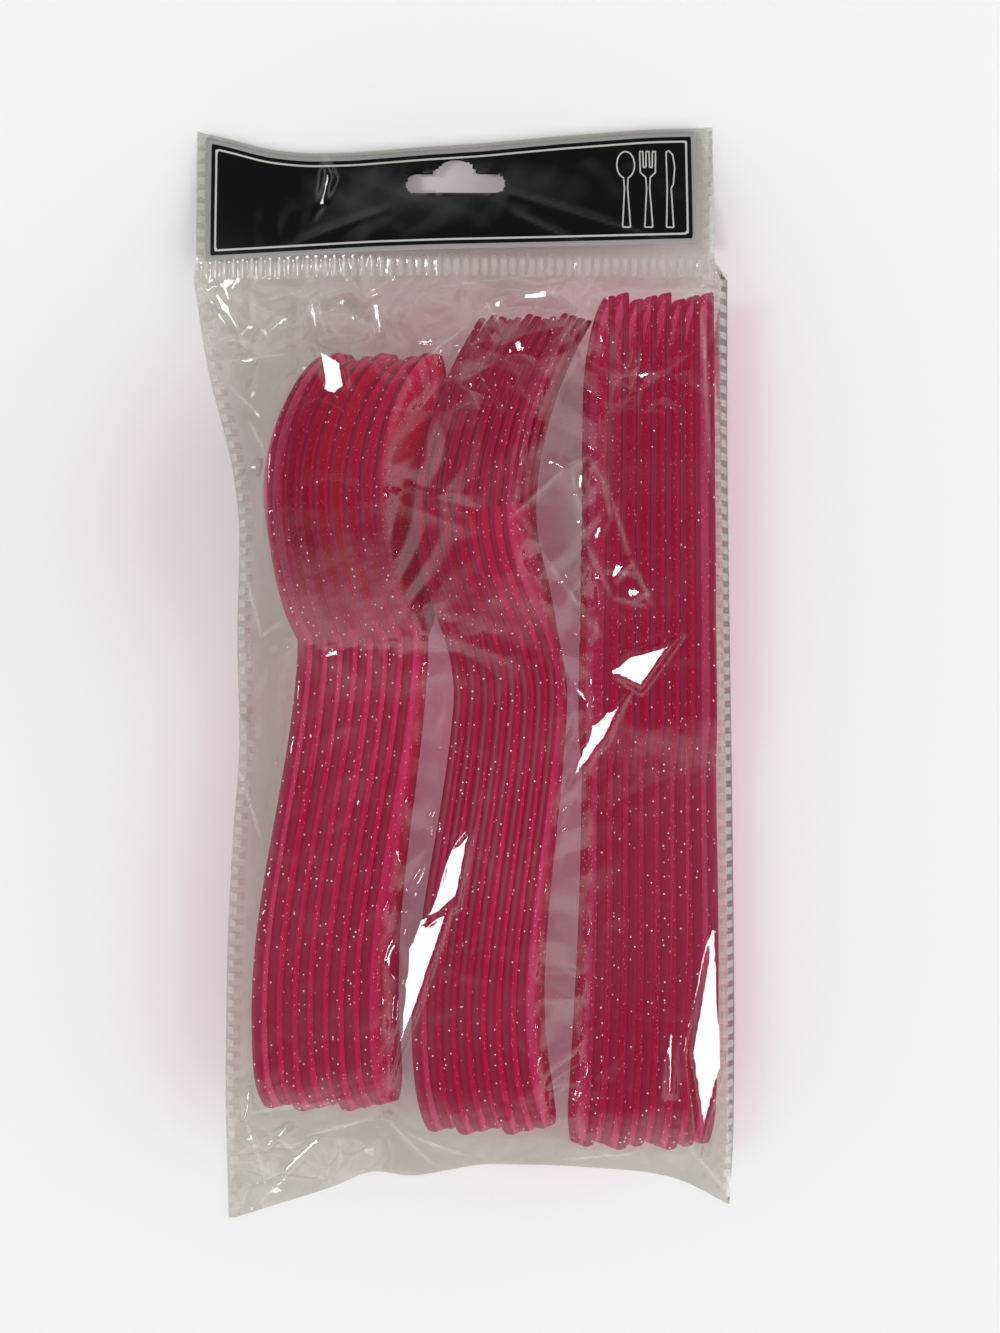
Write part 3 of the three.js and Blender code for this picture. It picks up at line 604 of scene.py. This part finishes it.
# Creases in the film, in millimetres: start, end, half width of the ridge and its height
creases = [
    (-59, 70, -37, 71, 1.6, 0.5), (-53, 65, -45, 57, 1.5, 0.45), (-45, 84, -32, 87, 1.4, 0.45),
    (-37, 77, -32, 86, 1.5, 0.5), (-33, 84, -30, 74, 1.6, 0.6), (-51, 86, -37, 77, 1.8, 0.5),
    (-30, 84, -19, 76, 1.5, 0.5), (-19, 82, -20, 73, 1.3, 0.4), (-58, 84, -48, 74, 1.7, 0.5),
    (-48, 57, -42, 46, 1.5, 0.4), (-8, 86, 22, 90, 1.8, 0.6), (4, 84, 8, 77, 1.4, 0.5),
    (8, 86, 22, 84, 1.5, 0.5), (17, 89, 22, 82, 1.4, 0.5), (1, 77, -8, 70, 1.6, 0.4),
    (10, 34, 23, 46, 1.3, 0.4), (15, 30, 31, 8, 1.4, 0.4), (23, 46, 28, 48, 1.2, 0.5),
    (28, 48, 33, 39, 1.3, 0.6), (33, 39, 37, 26, 1.3, 0.6), (37, 26, 42, 15, 1.4, 0.6),
    (31, 43, 33, 34, 1.0, 0.4), (31, 23, 40, 22, 1.0, 0.4), (33, 17, 41, 15, 1.0, 0.4),
    (24, 45, 27, 30, 1.2, 0.4), (27, 30, 33, 17, 1.2, 0.5), (-48, -98, -25, -95, 1.6, 0.5),
    (-45, -102, -30, -114, 1.6, 0.6), (-49, -123, -36, -109, 1.8, 0.6), (-51, -93, -44, -118, 1.5, 0.5),
    (-36, -104, -19, -99, 1.5, 0.5), (-50, 26, -45, 8, 1.4, 0.4), (-46, 8, -39, 12, 1.3, 0.4),
    (-52, -19, -45, -37, 1.4, 0.4), (-14, -102, 1, -109, 1.6, 0.5), (22, -110, 39, -107, 1.6, 0.5),
    (-43, 95, -16, 105, 1.6, 0.35), (8, 109, 50, 96, 1.5, 0.35), (10, 104, 30, 95, 1.3, 0.3),
    (49, -104, 60, -118, 1.7, 0.6), (53, 82, 55, 44, 1.2, 0.4), (56, 20, 58, -20, 1.2, 0.4),
    (-20, -96, -6, -112, 1.4, 0.5),
]


# Value noise: random heights on a square lattice, joined by smooth steps. Folding it at zero leaves flat cells that
# meet in soft ridges.
def crinkleField(x, y, size, seed):
    cells, shift = 128, 40
    lattice = np.random.default_rng(seed).uniform(-1, 1, (cells, cells))
    gx, gy = x / size + shift, y / size + shift
    i, j = np.floor(gx).astype(int), np.floor(gy).astype(int)
    tx, ty = smoothStep(gx - i, 0, 1), smoothStep(gy - j, 0, 1)
    i, j = i % (cells - 1), j % (cells - 1)
    below = lerp(lattice[i, j], lattice[i + 1, j], tx)
    above = lerp(lattice[i, j + 1], lattice[i + 1, j + 1], tx)
    return 0.5 - np.abs(lerp(below, above, ty))


# Crumples: triangle waves along a few directions, bent by soft noise and kept to patches, so that flat strips meet
# in crisp folds.
def crumpleField(x, y):
    bendSize, patchSize, patchSeed = 26, 24, 50
    total = 0 * x
    for turn, spacing, slope, seed in bag["crumples"]:
        c, s = math.cos(math.radians(turn)), math.sin(math.radians(turn))
        phase = (x * c + y * s) / spacing + bag["crumpleBend"] * crinkleField(x, y, bendSize, seed)
        wave = 2 * np.abs(phase - np.floor(phase + 0.5))
        patches = crinkleField(x - 0.5 * y, y + 0.5 * x, patchSize, seed + patchSeed)
        total += slope * spacing / 2 * (wave - 0.5) * smoothStep(patches, *bag["crumplePatch"])
    return total


# A crease is a straight ridge: how far each point is from its line, in millimetres, and how it fades at both ends.
def creaseShapes(x, y):
    for x0, y0, x1, y1, halfWidth, height in creases:
        length = math.hypot(x1 - x0, y1 - y0)
        ax, ay = (x1 - x0) / length, (y1 - y0) / length
        t = ((x - x0) * ax + (y - y0) * ay) / length
        fade = np.clip(4 * t * (1 - t), 0, 1) ** bag["creaseEnds"]
        yield np.abs((x - x0) * -ay + (y - y0) * ax), fade, halfWidth, height


# Height falls in a line to either side of a crease, so that its flanks are flat.
def creaseField(x, y):
    return sum(height * np.clip(1 - off / halfWidth, 0, None) * fade
               for off, fade, halfWidth, height in creaseShapes(x, y))


# A fold's crest gets a painted highlight: a white line along it.
def paintedFoldLines(x, y):
    return np.max([np.clip(1 - off / bag["foldWidth"], 0, 1) * fade for off, fade, *_ in creaseShapes(x, y)], axis=0)


# Slope of a mirror that shows the key lamp to the camera: square to the middle of the two directions.
def mirrorSlope(x, y, z):
    place = np.array([x, y, z]) * mm
    toLamp = np.array(studio["lamps"]["key"]["place"]) - place
    toEye = np.array([*studio["cameraAt"], studio["cameraHeight"]]) - place
    half = toLamp / np.linalg.norm(toLamp) + toEye / np.linalg.norm(toEye)
    return -half[0] / half[2], -half[1] / half[2]


# How far a point lies inside a facet's sides, in millimetres; outside it is negative.
def insideFacet(corners, x, y):
    inside = np.full(x.shape, np.inf)
    for (ax, ay), (bx, by) in zip(corners, corners[1:] + corners[:1]):
        length = math.hypot(bx - ax, by - ay)
        inside = np.minimum(inside, ((x - ax) * (by - ay) - (y - ay) * (bx - ax)) / length)
    return inside


# A facet replaces the film inside its corners by a plane, blended over a narrow border.
def pressFacets(x, y, height, floorHeight):
    roughSize, roughSeed = 5, 21
    rough = bag["facetRough"] * crinkleField(x + y, y - 0.4 * x, roughSize, roughSeed)
    for corners in facets:
        cx, cy = np.mean(corners, axis=0)
        inside = insideFacet(corners, x, y)
        weight = smoothStep(inside, -bag["facetBorder"], bag["facetInner"])
        level = height[np.unravel_index(np.argmin((x - cx) ** 2 + (y - cy) ** 2), x.shape)]
        gx, gy = mirrorSlope(cx, cy, level)
        plane = gx * (x - cx) + gy * (y - cy)
        inner = inside > 0
        if not inner.any():
            continue
        level = max(level, np.max((floorHeight - plane)[inner]))
        height = lerp(height, np.maximum(plane + level + rough, bag["bottomHeight"]), weight)
    return height


# Relaxed film, then wrinkles, crumples and creases, full where the film hangs free and small where cutlery holds it,
# then the facets. The header is a plain curve from the seal to the top edge with the same folds.
def filmSurfaces():
    broadSize, broadSeed, fineSize, fineSeed = 15, 3, 7, 8
    across, along, headerRows = bag["across"], bag["along"], bag["headerRows"]
    u, v, x, y, w, xHeader, yHeader = filmGrid(across, along, headerRows)
    up = v[:, 0]
    side = bag["sideBottom"] + bag["sideRise"] * smoothStep(up, *bag["sideRises"])
    turning = smoothStep(up, *bag["sideTurns"])
    rimLeft = lerp(side, sealHeight(x[-1, 0]), turning)
    rimRight = lerp(side, sealHeight(x[-1, -1]), turning)
    full = obstacle(x, y, along, across)
    height = None
    for share, rounds in bag["rounds"]:
        rows, columns = along // share, across // share
        coarse = full if share == 1 else resample(grow(full, share - 1), rows, columns)
        rowsUp, columnsAcross = np.linspace(0, 1, rows), np.linspace(0, 1, columns)
        rim = (np.full(columns, bag["bottomHeight"]), np.interp(columnsAcross, u, sealHeight(x[-1])),
               np.interp(rowsUp, up, rimLeft), np.interp(rowsUp, up, rimRight))
        start = grow(coarse, 3) if height is None else resample(height, rows, columns)
        height = relax(np.maximum(start, coarse), coarse, rim, rounds)
    free = smoothStep(height - grow(full, 2), *bag["freeGap"])
    fromSide, fromEnd = np.minimum(u, 1 - u), np.minimum(v, 1 - v)
    inside = np.minimum(fromSide * bag["fadeAcross"], 1) * np.minimum(fromEnd * bag["fadeAlong"], 1)
    wrinkle = crinkleField(x + 0.3 * y, y * 0.7, broadSize, broadSeed) * bag["broadWrinkle"]
    wrinkle = wrinkle + crinkleField(x * 0.8 - 0.4 * y, y, fineSize, fineSeed) * bag["fineWrinkle"]
    wrinkle = bag["crinkle"] * (wrinkle - wrinkle.mean())
    height = height + inside * lerp(bag["heldWrinkle"], 1, free) * wrinkle
    height = height + inside * lerp(bag["heldCrumple"], 1, free) * crumpleField(x, y)
    height = height + inside * bag["creaseHeight"] * (1 + free) * creaseField(x, y)
    height = pressFacets(x, y, height, full)
    height = np.maximum(height, np.where(full > 0, full - bag["touching"], bag["lowest"]))
    plainHeader = headerHeight(xHeader, w) + bag["overCard"]
    under = plainHeader - bag["cardPlay"]
    slack = np.clip(w * bag["headerFadeUp"], 0, 1) * np.clip(fromSide * bag["headerFadeAcross"], 0, 1)
    folds = bag["headerCrumple"] * crumpleField(xHeader, yHeader) + bag["headerCrease"] * creaseField(xHeader, yHeader)
    zHeader = np.maximum(plainHeader + slack * folds, under)
    zHeader = np.maximum(pressFacets(xHeader, yHeader, zHeader, under), under)
    print("film: pouch relaxed")
    return x, y, height, xHeader, yHeader, zHeader, plainHeader


x, y, height, xHeader, yHeader, zHeader, plainHeader = filmSurfaces()
xHeader, yHeader = snapToSlot(xHeader, yHeader)

filmLook = {
    "throughFront": (0.97, 0.97, 0.965, 1),
    # The back wall's darker tint and heavier haze paint the shade under the pouch
    "throughBackShaded": (0.73, 0.71, 0.665, 1),
    "throughSlanted": (0.87, 0.855, 0.83, 1), "slantGain": 5.0,
    "haze": (0.66, 0.645, 0.605, 1), "hazeFront": 0.004, "hazeAndShadeBack": 0.18,
    "weldHaze": 0.4, "weldBump": 0.6, "weldDepth": 0.3, "dashPitch": 3.0, "dashFrom": -0.1, "ribPitch": 2.1,
    "cells": ((15.0, 0.42), (6.5, 0.20)), "bendSize": 14.0, "bendBy": 9.0,
    "creaseWidth": 0.022, "creaseHighlightShare": 0.07, "foldHighlightShare": 0.5, "veil": 0.016,
    "shade": (0.93, 0.925, 0.91, 1),
    "shine": 0.05, "shineSlanted": 0.8, "slantBlend": 0.25, "roughness": 0.05,
}


# Clear film with a milky share for haze and welds, a white share painted as highlight along folds and fine creases, and
# a mirror share that grows with the slant
def filmMaterial(name, through, hazeShare):
    look = filmLook
    material, nodes, links = makeMaterial(name)
    out = node(nodes, "ShaderNodeOutputMaterial")
    clear = node(nodes, "ShaderNodeBsdfTransparent")
    slant = node(nodes, "ShaderNodeLayerWeight", Blend=0.5)
    slanted = mathNode(nodes, links, "MULTIPLY", slant.outputs["Facing"], look["slantGain"])
    slanted = mathNode(nodes, links, "MINIMUM", slanted, 1.0)
    links.new(mixColour(nodes, links, slanted, through, look["throughSlanted"]), clear.inputs[0])
    milk = node(nodes, "ShaderNodeBsdfDiffuse", Color=look["haze"])
    gloss = node(nodes, "ShaderNodeBsdfGlossy", Roughness=look["roughness"])
    coords = node(nodes, "ShaderNodeTexCoord").outputs["Object"]
    place = node(nodes, "ShaderNodeSeparateXYZ")
    links.new(coords, place.inputs[0])

    def wave(axis, pitch):
        turns = mathNode(nodes, links, "MULTIPLY", place.outputs[axis], 2 * math.pi / (pitch * mm))
        return mathNode(nodes, links, "SINE", turns)

    dash = mathNode(nodes, links, "GREATER_THAN", wave("Y", look["dashPitch"]), look["dashFrom"])
    rib = mathNode(nodes, links, "MULTIPLY_ADD", wave("X", look["ribPitch"]), 0.5, 0.5)
    dashes = mathNode(nodes, links, "MULTIPLY", attribute(nodes, "weld"), dash)
    ribs = mathNode(nodes, links, "MULTIPLY", attribute(nodes, "seal"), rib)
    pressed = mathNode(nodes, links, "MAXIMUM", dashes, ribs)
    hazeNow = mathNode(nodes, links, "MULTIPLY_ADD", pressed, look["weldHaze"], hazeShare)
    bump = node(nodes, "ShaderNodeBump", Strength=look["weldBump"], Distance=look["weldDepth"] * mm)
    links.new(pressed, bump.inputs["Height"])
    slack = attribute(nodes, "slack")
    bend = node(nodes, "ShaderNodeTexNoise", noise_dimensions="2D", Scale=1 / (look["bendSize"] * mm), Detail=1.0)
    links.new(coords, bend.inputs["Vector"])
    shifted = node(nodes, "ShaderNodeVectorMath", operation="MULTIPLY_ADD")
    links.new(bend.outputs["Color"], shifted.inputs[0])
    shifted.inputs[1].default_value = (look["bendBy"] * mm,) * 3
    links.new(coords, shifted.inputs[2])
    for size, slope in look["cells"]:
        cells = node(nodes, "ShaderNodeTexVoronoi", feature="DISTANCE_TO_EDGE", voronoi_dimensions="2D",
                     Scale=1 / (size * mm))
        links.new(shifted.outputs[0], cells.inputs["Vector"])
        fold = node(nodes, "ShaderNodeBump", Distance=size * slope * mm)
        links.new(cells.outputs["Distance"], fold.inputs["Height"])
        links.new(slack, fold.inputs["Strength"])
        links.new(bump.outputs[0], fold.inputs["Normal"])
        bump = fold
        # Painted highlight: a thin white line along each cell edge where the film is slack
        line = mathNode(nodes, links, "LESS_THAN", cells.outputs["Distance"], look["creaseWidth"])
        slackLine = mathNode(nodes, links, "MULTIPLY", line, slack)
        white = mathNode(nodes, links, "MULTIPLY", slackLine, look["creaseHighlightShare"])
        hazeNow = mathNode(nodes, links, "MAXIMUM", hazeNow, white)
    links.new(bump.outputs[0], gloss.inputs["Normal"])
    links.new(bump.outputs[0], slant.inputs["Normal"])
    # Painted highlight: white along the fold crests
    hazeNow = mathNode(nodes, links, "MULTIPLY_ADD", attribute(nodes, "fold"), look["foldHighlightShare"], hazeNow)
    hazeNow = mathNode(nodes, links, "MULTIPLY_ADD", attribute(nodes, "veil"), look["veil"], hazeNow)
    body = mixShader(nodes, links, hazeNow, clear.outputs[0], milk.outputs[0])
    facing = node(nodes, "ShaderNodeLayerWeight", Blend=look["slantBlend"])
    share = mathNode(nodes, links, "MULTIPLY_ADD", facing.outputs["Fresnel"], look["shineSlanted"], look["shine"])
    mix = mixShader(nodes, links, share, body, gloss.outputs[0])
    links.new(plainShade(nodes, links, mix, look["shade"]), out.inputs[0])
    return material


filmFront = filmMaterial("clear film front", filmLook["throughFront"], filmLook["hazeFront"])
# Painted shade: the back wall lets less light through and is milkier than the front
filmBack = filmMaterial("clear film back with painted shade", filmLook["throughBackShaded"], filmLook["hazeAndShadeBack"])


def stacked(*layers):
    return np.stack([np.concatenate([part[k] for part in layers]) for k in range(3)], axis=-1)


# The front wall is the film's surface. The back wall lies flat under the pouch, curves up at the sides and the seal,
# and follows the header at the depth of its pocket.
def buildFilm():
    front = stacked((x, y, height), (xHeader, yHeader, zHeader))
    rows, columns = front.shape[:2]
    every, gap = bag["backEvery"], bag["touching"]
    pick = np.ix_(np.r_[0:rows:every, rows - 1], np.r_[0:columns:every, columns - 1])
    back = stacked((x, y, height), (xHeader, yHeader, plainHeader))[pick]
    xBack, yBack, zBack = np.moveaxis(back, -1, 0)
    pouch = yBack < bag["sealTop"] - gap
    low = np.where(pouch, bag["backHeight"], zBack - bag["pocketDepth"])
    fromSide = np.minimum(np.abs(xBack - xBack[:, :1]), np.abs(xBack - xBack[:, -1:]))
    lift = np.clip(1 - fromSide / bag["backRound"], 0, 1) ** 2
    fromSeal = np.clip((yBack - bag["sealBottom"] + bag["backRise"]) / bag["backRise"], 0, 1) ** 2
    sideHeight = np.where(xBack < 0, zBack[:, :1], zBack[:, -1:])
    raised = low + np.maximum(lift * sideHeight, fromSeal * sealHeight(xBack))
    back[..., 2] = np.maximum(np.where(pouch, np.minimum(raised, zBack - gap), low), gap)
    frontPoints, backPoints = front.reshape(-1, 3), back.reshape(-1, 3)
    frontFaces = dropSlot(frontPoints, gridFaces(rows, columns))
    backFaces = dropSlot(backPoints, gridFaces(*back.shape[:2]))[:, ::-1] + len(frontPoints)
    faces = np.concatenate([frontFaces, backFaces])
    piece = newMesh("filmBag", np.concatenate([frontPoints, backPoints]), faces.tolist(), [filmFront, filmBack])
    isBack = np.arange(len(faces)) >= len(frontFaces)
    piece.data.polygons.foreach_set("material_index", isBack.astype(np.int32))
    return piece, front, back


# Where the film is welded, sealed and slack, where its folds get a painted highlight, and where it is veiled; only the
# front shows the fold highlights and veil.
def filmValues(sheet, isFront):
    patchSize, patchSeed, veilSize, veilSeed = 22, 31, 30, 77
    x, y = sheet[..., 0], sheet[..., 1]
    gap, header = bag["touching"], y > bag["sealBottom"]
    fromSide = np.minimum(x - x[:, :1], x[:, -1:] - x)
    held = (x >= bag["heldLeft"]) * (y >= bag["heldRows"][0]) * (y <= bag["heldRows"][1])
    full = (x > bag["fullLeft"]) * (y > bag["fullRows"][0]) * (y < bag["fullRows"][1])
    patches = smoothStep(crinkleField(x + 7, y, patchSize, patchSeed), *bag["slackPatch"])
    slack = np.maximum(patches, bag["leastSlack"]) * np.where(held, bag["heldSlack"], 1)
    flat = np.max([smoothStep(insideFacet(corners, x, y), -bag["calmBorder"], 0) for corners in facets], axis=0)
    veil = smoothStep(crinkleField(x - 0.3 * y, y, veilSize, veilSeed), *bag["veilPatch"])
    return {
        "weld": (fromSide > bag["weldFrom"]) * (fromSide < bag["weldTo"]),
        "seal": (y > bag["sealBottom"] - gap) * (y < bag["sealTop"] + gap),
        "slack": (1 - flat) * slack * np.where(header, bag["headerSlack"], 1),
        "fold": isFront * paintedFoldLines(x, y) * np.where(header, bag["headerFold"], 1) * np.where(full, bag["fullFold"], 1),
        "veil": isFront * lerp(bag["leastVeil"], 1, veil) * (y < bag["sealBottom"]),
    }


film, frontPoints, backPoints = buildFilm()
frontValues, backValues = filmValues(frontPoints, True), filmValues(backPoints, False)
for name in frontValues:
    addValue(film, name, np.r_[frontValues[name].ravel(), backValues[name].ravel()])
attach(film, "root")
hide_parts("film_bag")
print("film built")

# Header card in its pocket
card = {
    "across": 161, "along": 45,
    "left": -58.4, "right": 52.6, "bottom": (93.4, 96.8), "topGap": 0.9, "thickness": 0.4,
    "signWidth": 0.32, "signs": {"spoon": 36.6, "fork": 41.6, "knife": 46.4}, "signMiddle": 109.6,
    "signLift": 0.06, "signStep": 0.6,
    "black": (0.002, 0.002, 0.0025, 1), "silver": (0.42, 0.42, 0.42, 1), "white": (0.75, 0.75, 0.74, 1),
    "bandWidth": 1.1, "lineFrom": 2.0, "lineTo": 2.45, "roughness": 0.35, "specular": 0.12,
}


def cardMaterial():
    material, nodes, links = makeMaterial("black card")
    out = node(nodes, "ShaderNodeOutputMaterial")
    edge = attribute(nodes, "fromEdge")
    band = mathNode(nodes, links, "LESS_THAN", edge, card["bandWidth"])
    line = mathNode(nodes, links, "MULTIPLY", mathNode(nodes, links, "GREATER_THAN", edge, card["lineFrom"]),
                    mathNode(nodes, links, "LESS_THAN", edge, card["lineTo"]))
    colour = mixColour(nodes, links, band, card["black"], card["silver"])
    colour = mixColour(nodes, links, line, colour, card["white"])
    body = node(nodes, "ShaderNodeBsdfPrincipled", Roughness=card["roughness"], Specular_IOR_Level=card["specular"])
    links.new(colour, body.inputs["Base Color"])
    links.new(body.outputs[0], out.inputs[0])
    return material


def evenSteps(line, spacing):
    walked = np.r_[0, np.cumsum(np.linalg.norm(np.diff(line, axis=0), axis=1))]
    even = np.unique(np.r_[walked, np.arange(0, walked[-1], spacing)].round(4))
    return np.column_stack([np.interp(even, walked, line[:, 0]), np.interp(even, walked, line[:, 1])])


# Outlines of a spoon, a fork and a knife, drawn as thin ribbons about the middle of each sign.
def signOutlines():
    turn = np.linspace(-0.42 * math.pi, 1.42 * math.pi, 28)
    bowl = np.stack([2.0 * np.cos(turn), 5.6 + 3.2 * np.sin(turn)], axis=1)
    stem = [(-0.5, 2.5), (-0.35, 0), (-0.9, -9.2), (0.9, -9.2)]
    lines = {
        "spoon": np.concatenate([[(0.9, -9.2), (0.35, 0), (0.5, 2.5)], bowl, stem]),
        "fork": np.array([
            (0.9, -9.2), (0.35, 0), (0.5, 2.6), (1.7, 3.8), (1.8, 8.8), (1.1, 8.8), (1.0, 5.0), (0.4, 5.0),
            (0.35, 8.8), (-0.35, 8.8), (-0.4, 5.0), (-1.0, 5.0), (-1.1, 8.8), (-1.8, 8.8), (-1.7, 3.8),
            (-0.5, 2.6), (-0.35, 0), (-0.9, -9.2), (0.9, -9.2),
        ]),
        "knife": np.array([
            (0.8, -9.2), (0.4, 0), (0.9, 1.0), (1.3, 5.0), (0.9, 8.0), (0.0, 9.0), (-0.6, 8.6), (-0.5, 0),
            (-0.8, -9.2), (0.8, -9.2),
        ]),
    }
    return {name: evenSteps(line, card["signStep"]) for name, line in lines.items()}


def ribbon(line, width):
    along = np.gradient(line, axis=0)
    along /= np.linalg.norm(along, axis=1)[:, None]
    beside = np.stack([-along[:, 1], along[:, 0]], axis=1) * width / 2
    return np.stack([line - beside, line + beside], axis=1).reshape(-1, 2)


# The card lies on the header's curve, which is measured from the seal to the film's top edge.
def cardHeight(x, y, filmTop):
    return headerHeight(x, np.clip((y - bag["sealTop"]) / (filmTop - bag["sealTop"]), 0, 1))


def buildCard():
    u = np.linspace(0, 1, card["across"])
    w = np.linspace(0, 1, card["along"])[:, None]
    x = lerp(card["left"], card["right"], u) + 0 * w
    filmTop = edgeCurve(x[0], bag["topEdge"])
    top = filmTop - card["topGap"]
    bottom = lerp(*card["bottom"], u)
    x, y = snapToSlot(x, lerp(bottom, top, w))
    points = np.stack([x, y, cardHeight(x, y, filmTop)], axis=-1).reshape(-1, 3)
    faces = dropSlot(points, gridFaces(card["along"], card["across"])).tolist()
    fromSide, fromEnd = np.minimum(x - card["left"], card["right"] - x), np.minimum(y - bottom, top - y)
    fromEdge = np.minimum(fromSide, fromEnd).ravel()
    for name, line in signOutlines().items():
        flat = ribbon(line, card["signWidth"]) + (card["signs"][name], card["signMiddle"])
        z = cardHeight(flat[:, 0], flat[:, 1], np.interp(flat[:, 0], x[-1], filmTop)) + card["signLift"]
        faces += (gridFaces(len(line), 2)[:, ::-1] + len(points)).tolist()
        points = np.concatenate([points, np.column_stack([flat, z])])
        fromEdge = np.append(fromEdge, np.full(len(flat), (card["lineFrom"] + card["lineTo"]) / 2))
    piece = newMesh("headerCard", points, faces, [cardMaterial()])
    addValue(piece, "fromEdge", fromEdge)
    thick = piece.modifiers.new("thickness", "SOLIDIFY")
    thick.thickness, thick.offset = card["thickness"] * mm, -1
    return piece


headerCard = buildCard()
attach(headerCard, "root")
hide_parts("header_card")
print("card built")

# Floor, lamps and camera
bpy.ops.mesh.primitive_plane_add(size=studio["floorSize"], location=(0, 0, -studio["floorDrop"]))
floor = bpy.context.object
floor.name = "floor"
material, nodes, links = makeMaterial("floor")
out = node(nodes, "ShaderNodeOutputMaterial")
matte = node(nodes, "ShaderNodeBsdfDiffuse", Color=(studio["floor"],) * 3 + (1,))
links.new(matte.outputs[0], out.inputs[0])
floor.data.materials.append(material)

world = bpy.data.worlds.new("studio")
bpy.context.scene.world = world
world.use_nodes = True
nodes, links = world.node_tree.nodes, world.node_tree.links
upward = node(nodes, "ShaderNodeSeparateXYZ")
links.new(node(nodes, "ShaderNodeTexCoord").outputs["Generated"], upward.inputs[0])
glow = node(nodes, "ShaderNodeMapRange", From_Min=studio["worldFrom"], From_Max=studio["worldTo"],
            To_Min=studio["worldHorizon"], To_Max=studio["worldOverhead"])
tilted = mathNode(nodes, links, "MULTIPLY_ADD", upward.outputs["Y"], studio["worldLean"], upward.outputs["Z"])
links.new(tilted, glow.inputs["Value"])
nodes["Background"].inputs[0].default_value = (1, 1, 1, 1)
links.new(glow.outputs[0], nodes["Background"].inputs[1])

for name, values in studio["lamps"].items():
    lamp = bpy.data.lights.new(name, "AREA")
    lamp.size, lamp.energy = values["size"], values["power"]
    holder = bpy.data.objects.new(name, lamp)
    bpy.context.scene.collection.objects.link(holder)
    holder.location = values["place"]
    holder.visible_glossy = values["mirrored"]
    aim = -holder.location
    holder.rotation_euler = aim.to_track_quat("-Z", "Y").to_euler()

camera = bpy.data.cameras.new("camera")
camera.sensor_fit, camera.sensor_height = "VERTICAL", studio["sensor"]
camera.lens = studio["sensor"] * studio["cameraHeight"] / studio["viewHeight"]
cameraObject = bpy.data.objects.new("camera", camera)
bpy.context.scene.collection.objects.link(cameraObject)
cameraObject.location = (*studio["cameraAt"], studio["aimHeight"] + studio["cameraHeight"])
bpy.context.scene.camera = cameraObject
bpy.context.scene.view_settings.view_transform = "Standard"
cycles = bpy.context.scene.cycles
cycles.transparent_max_bounces, cycles.max_bounces = 12, 3
cycles.diffuse_bounces, cycles.glossy_bounces = 1, 2
print("studio set")
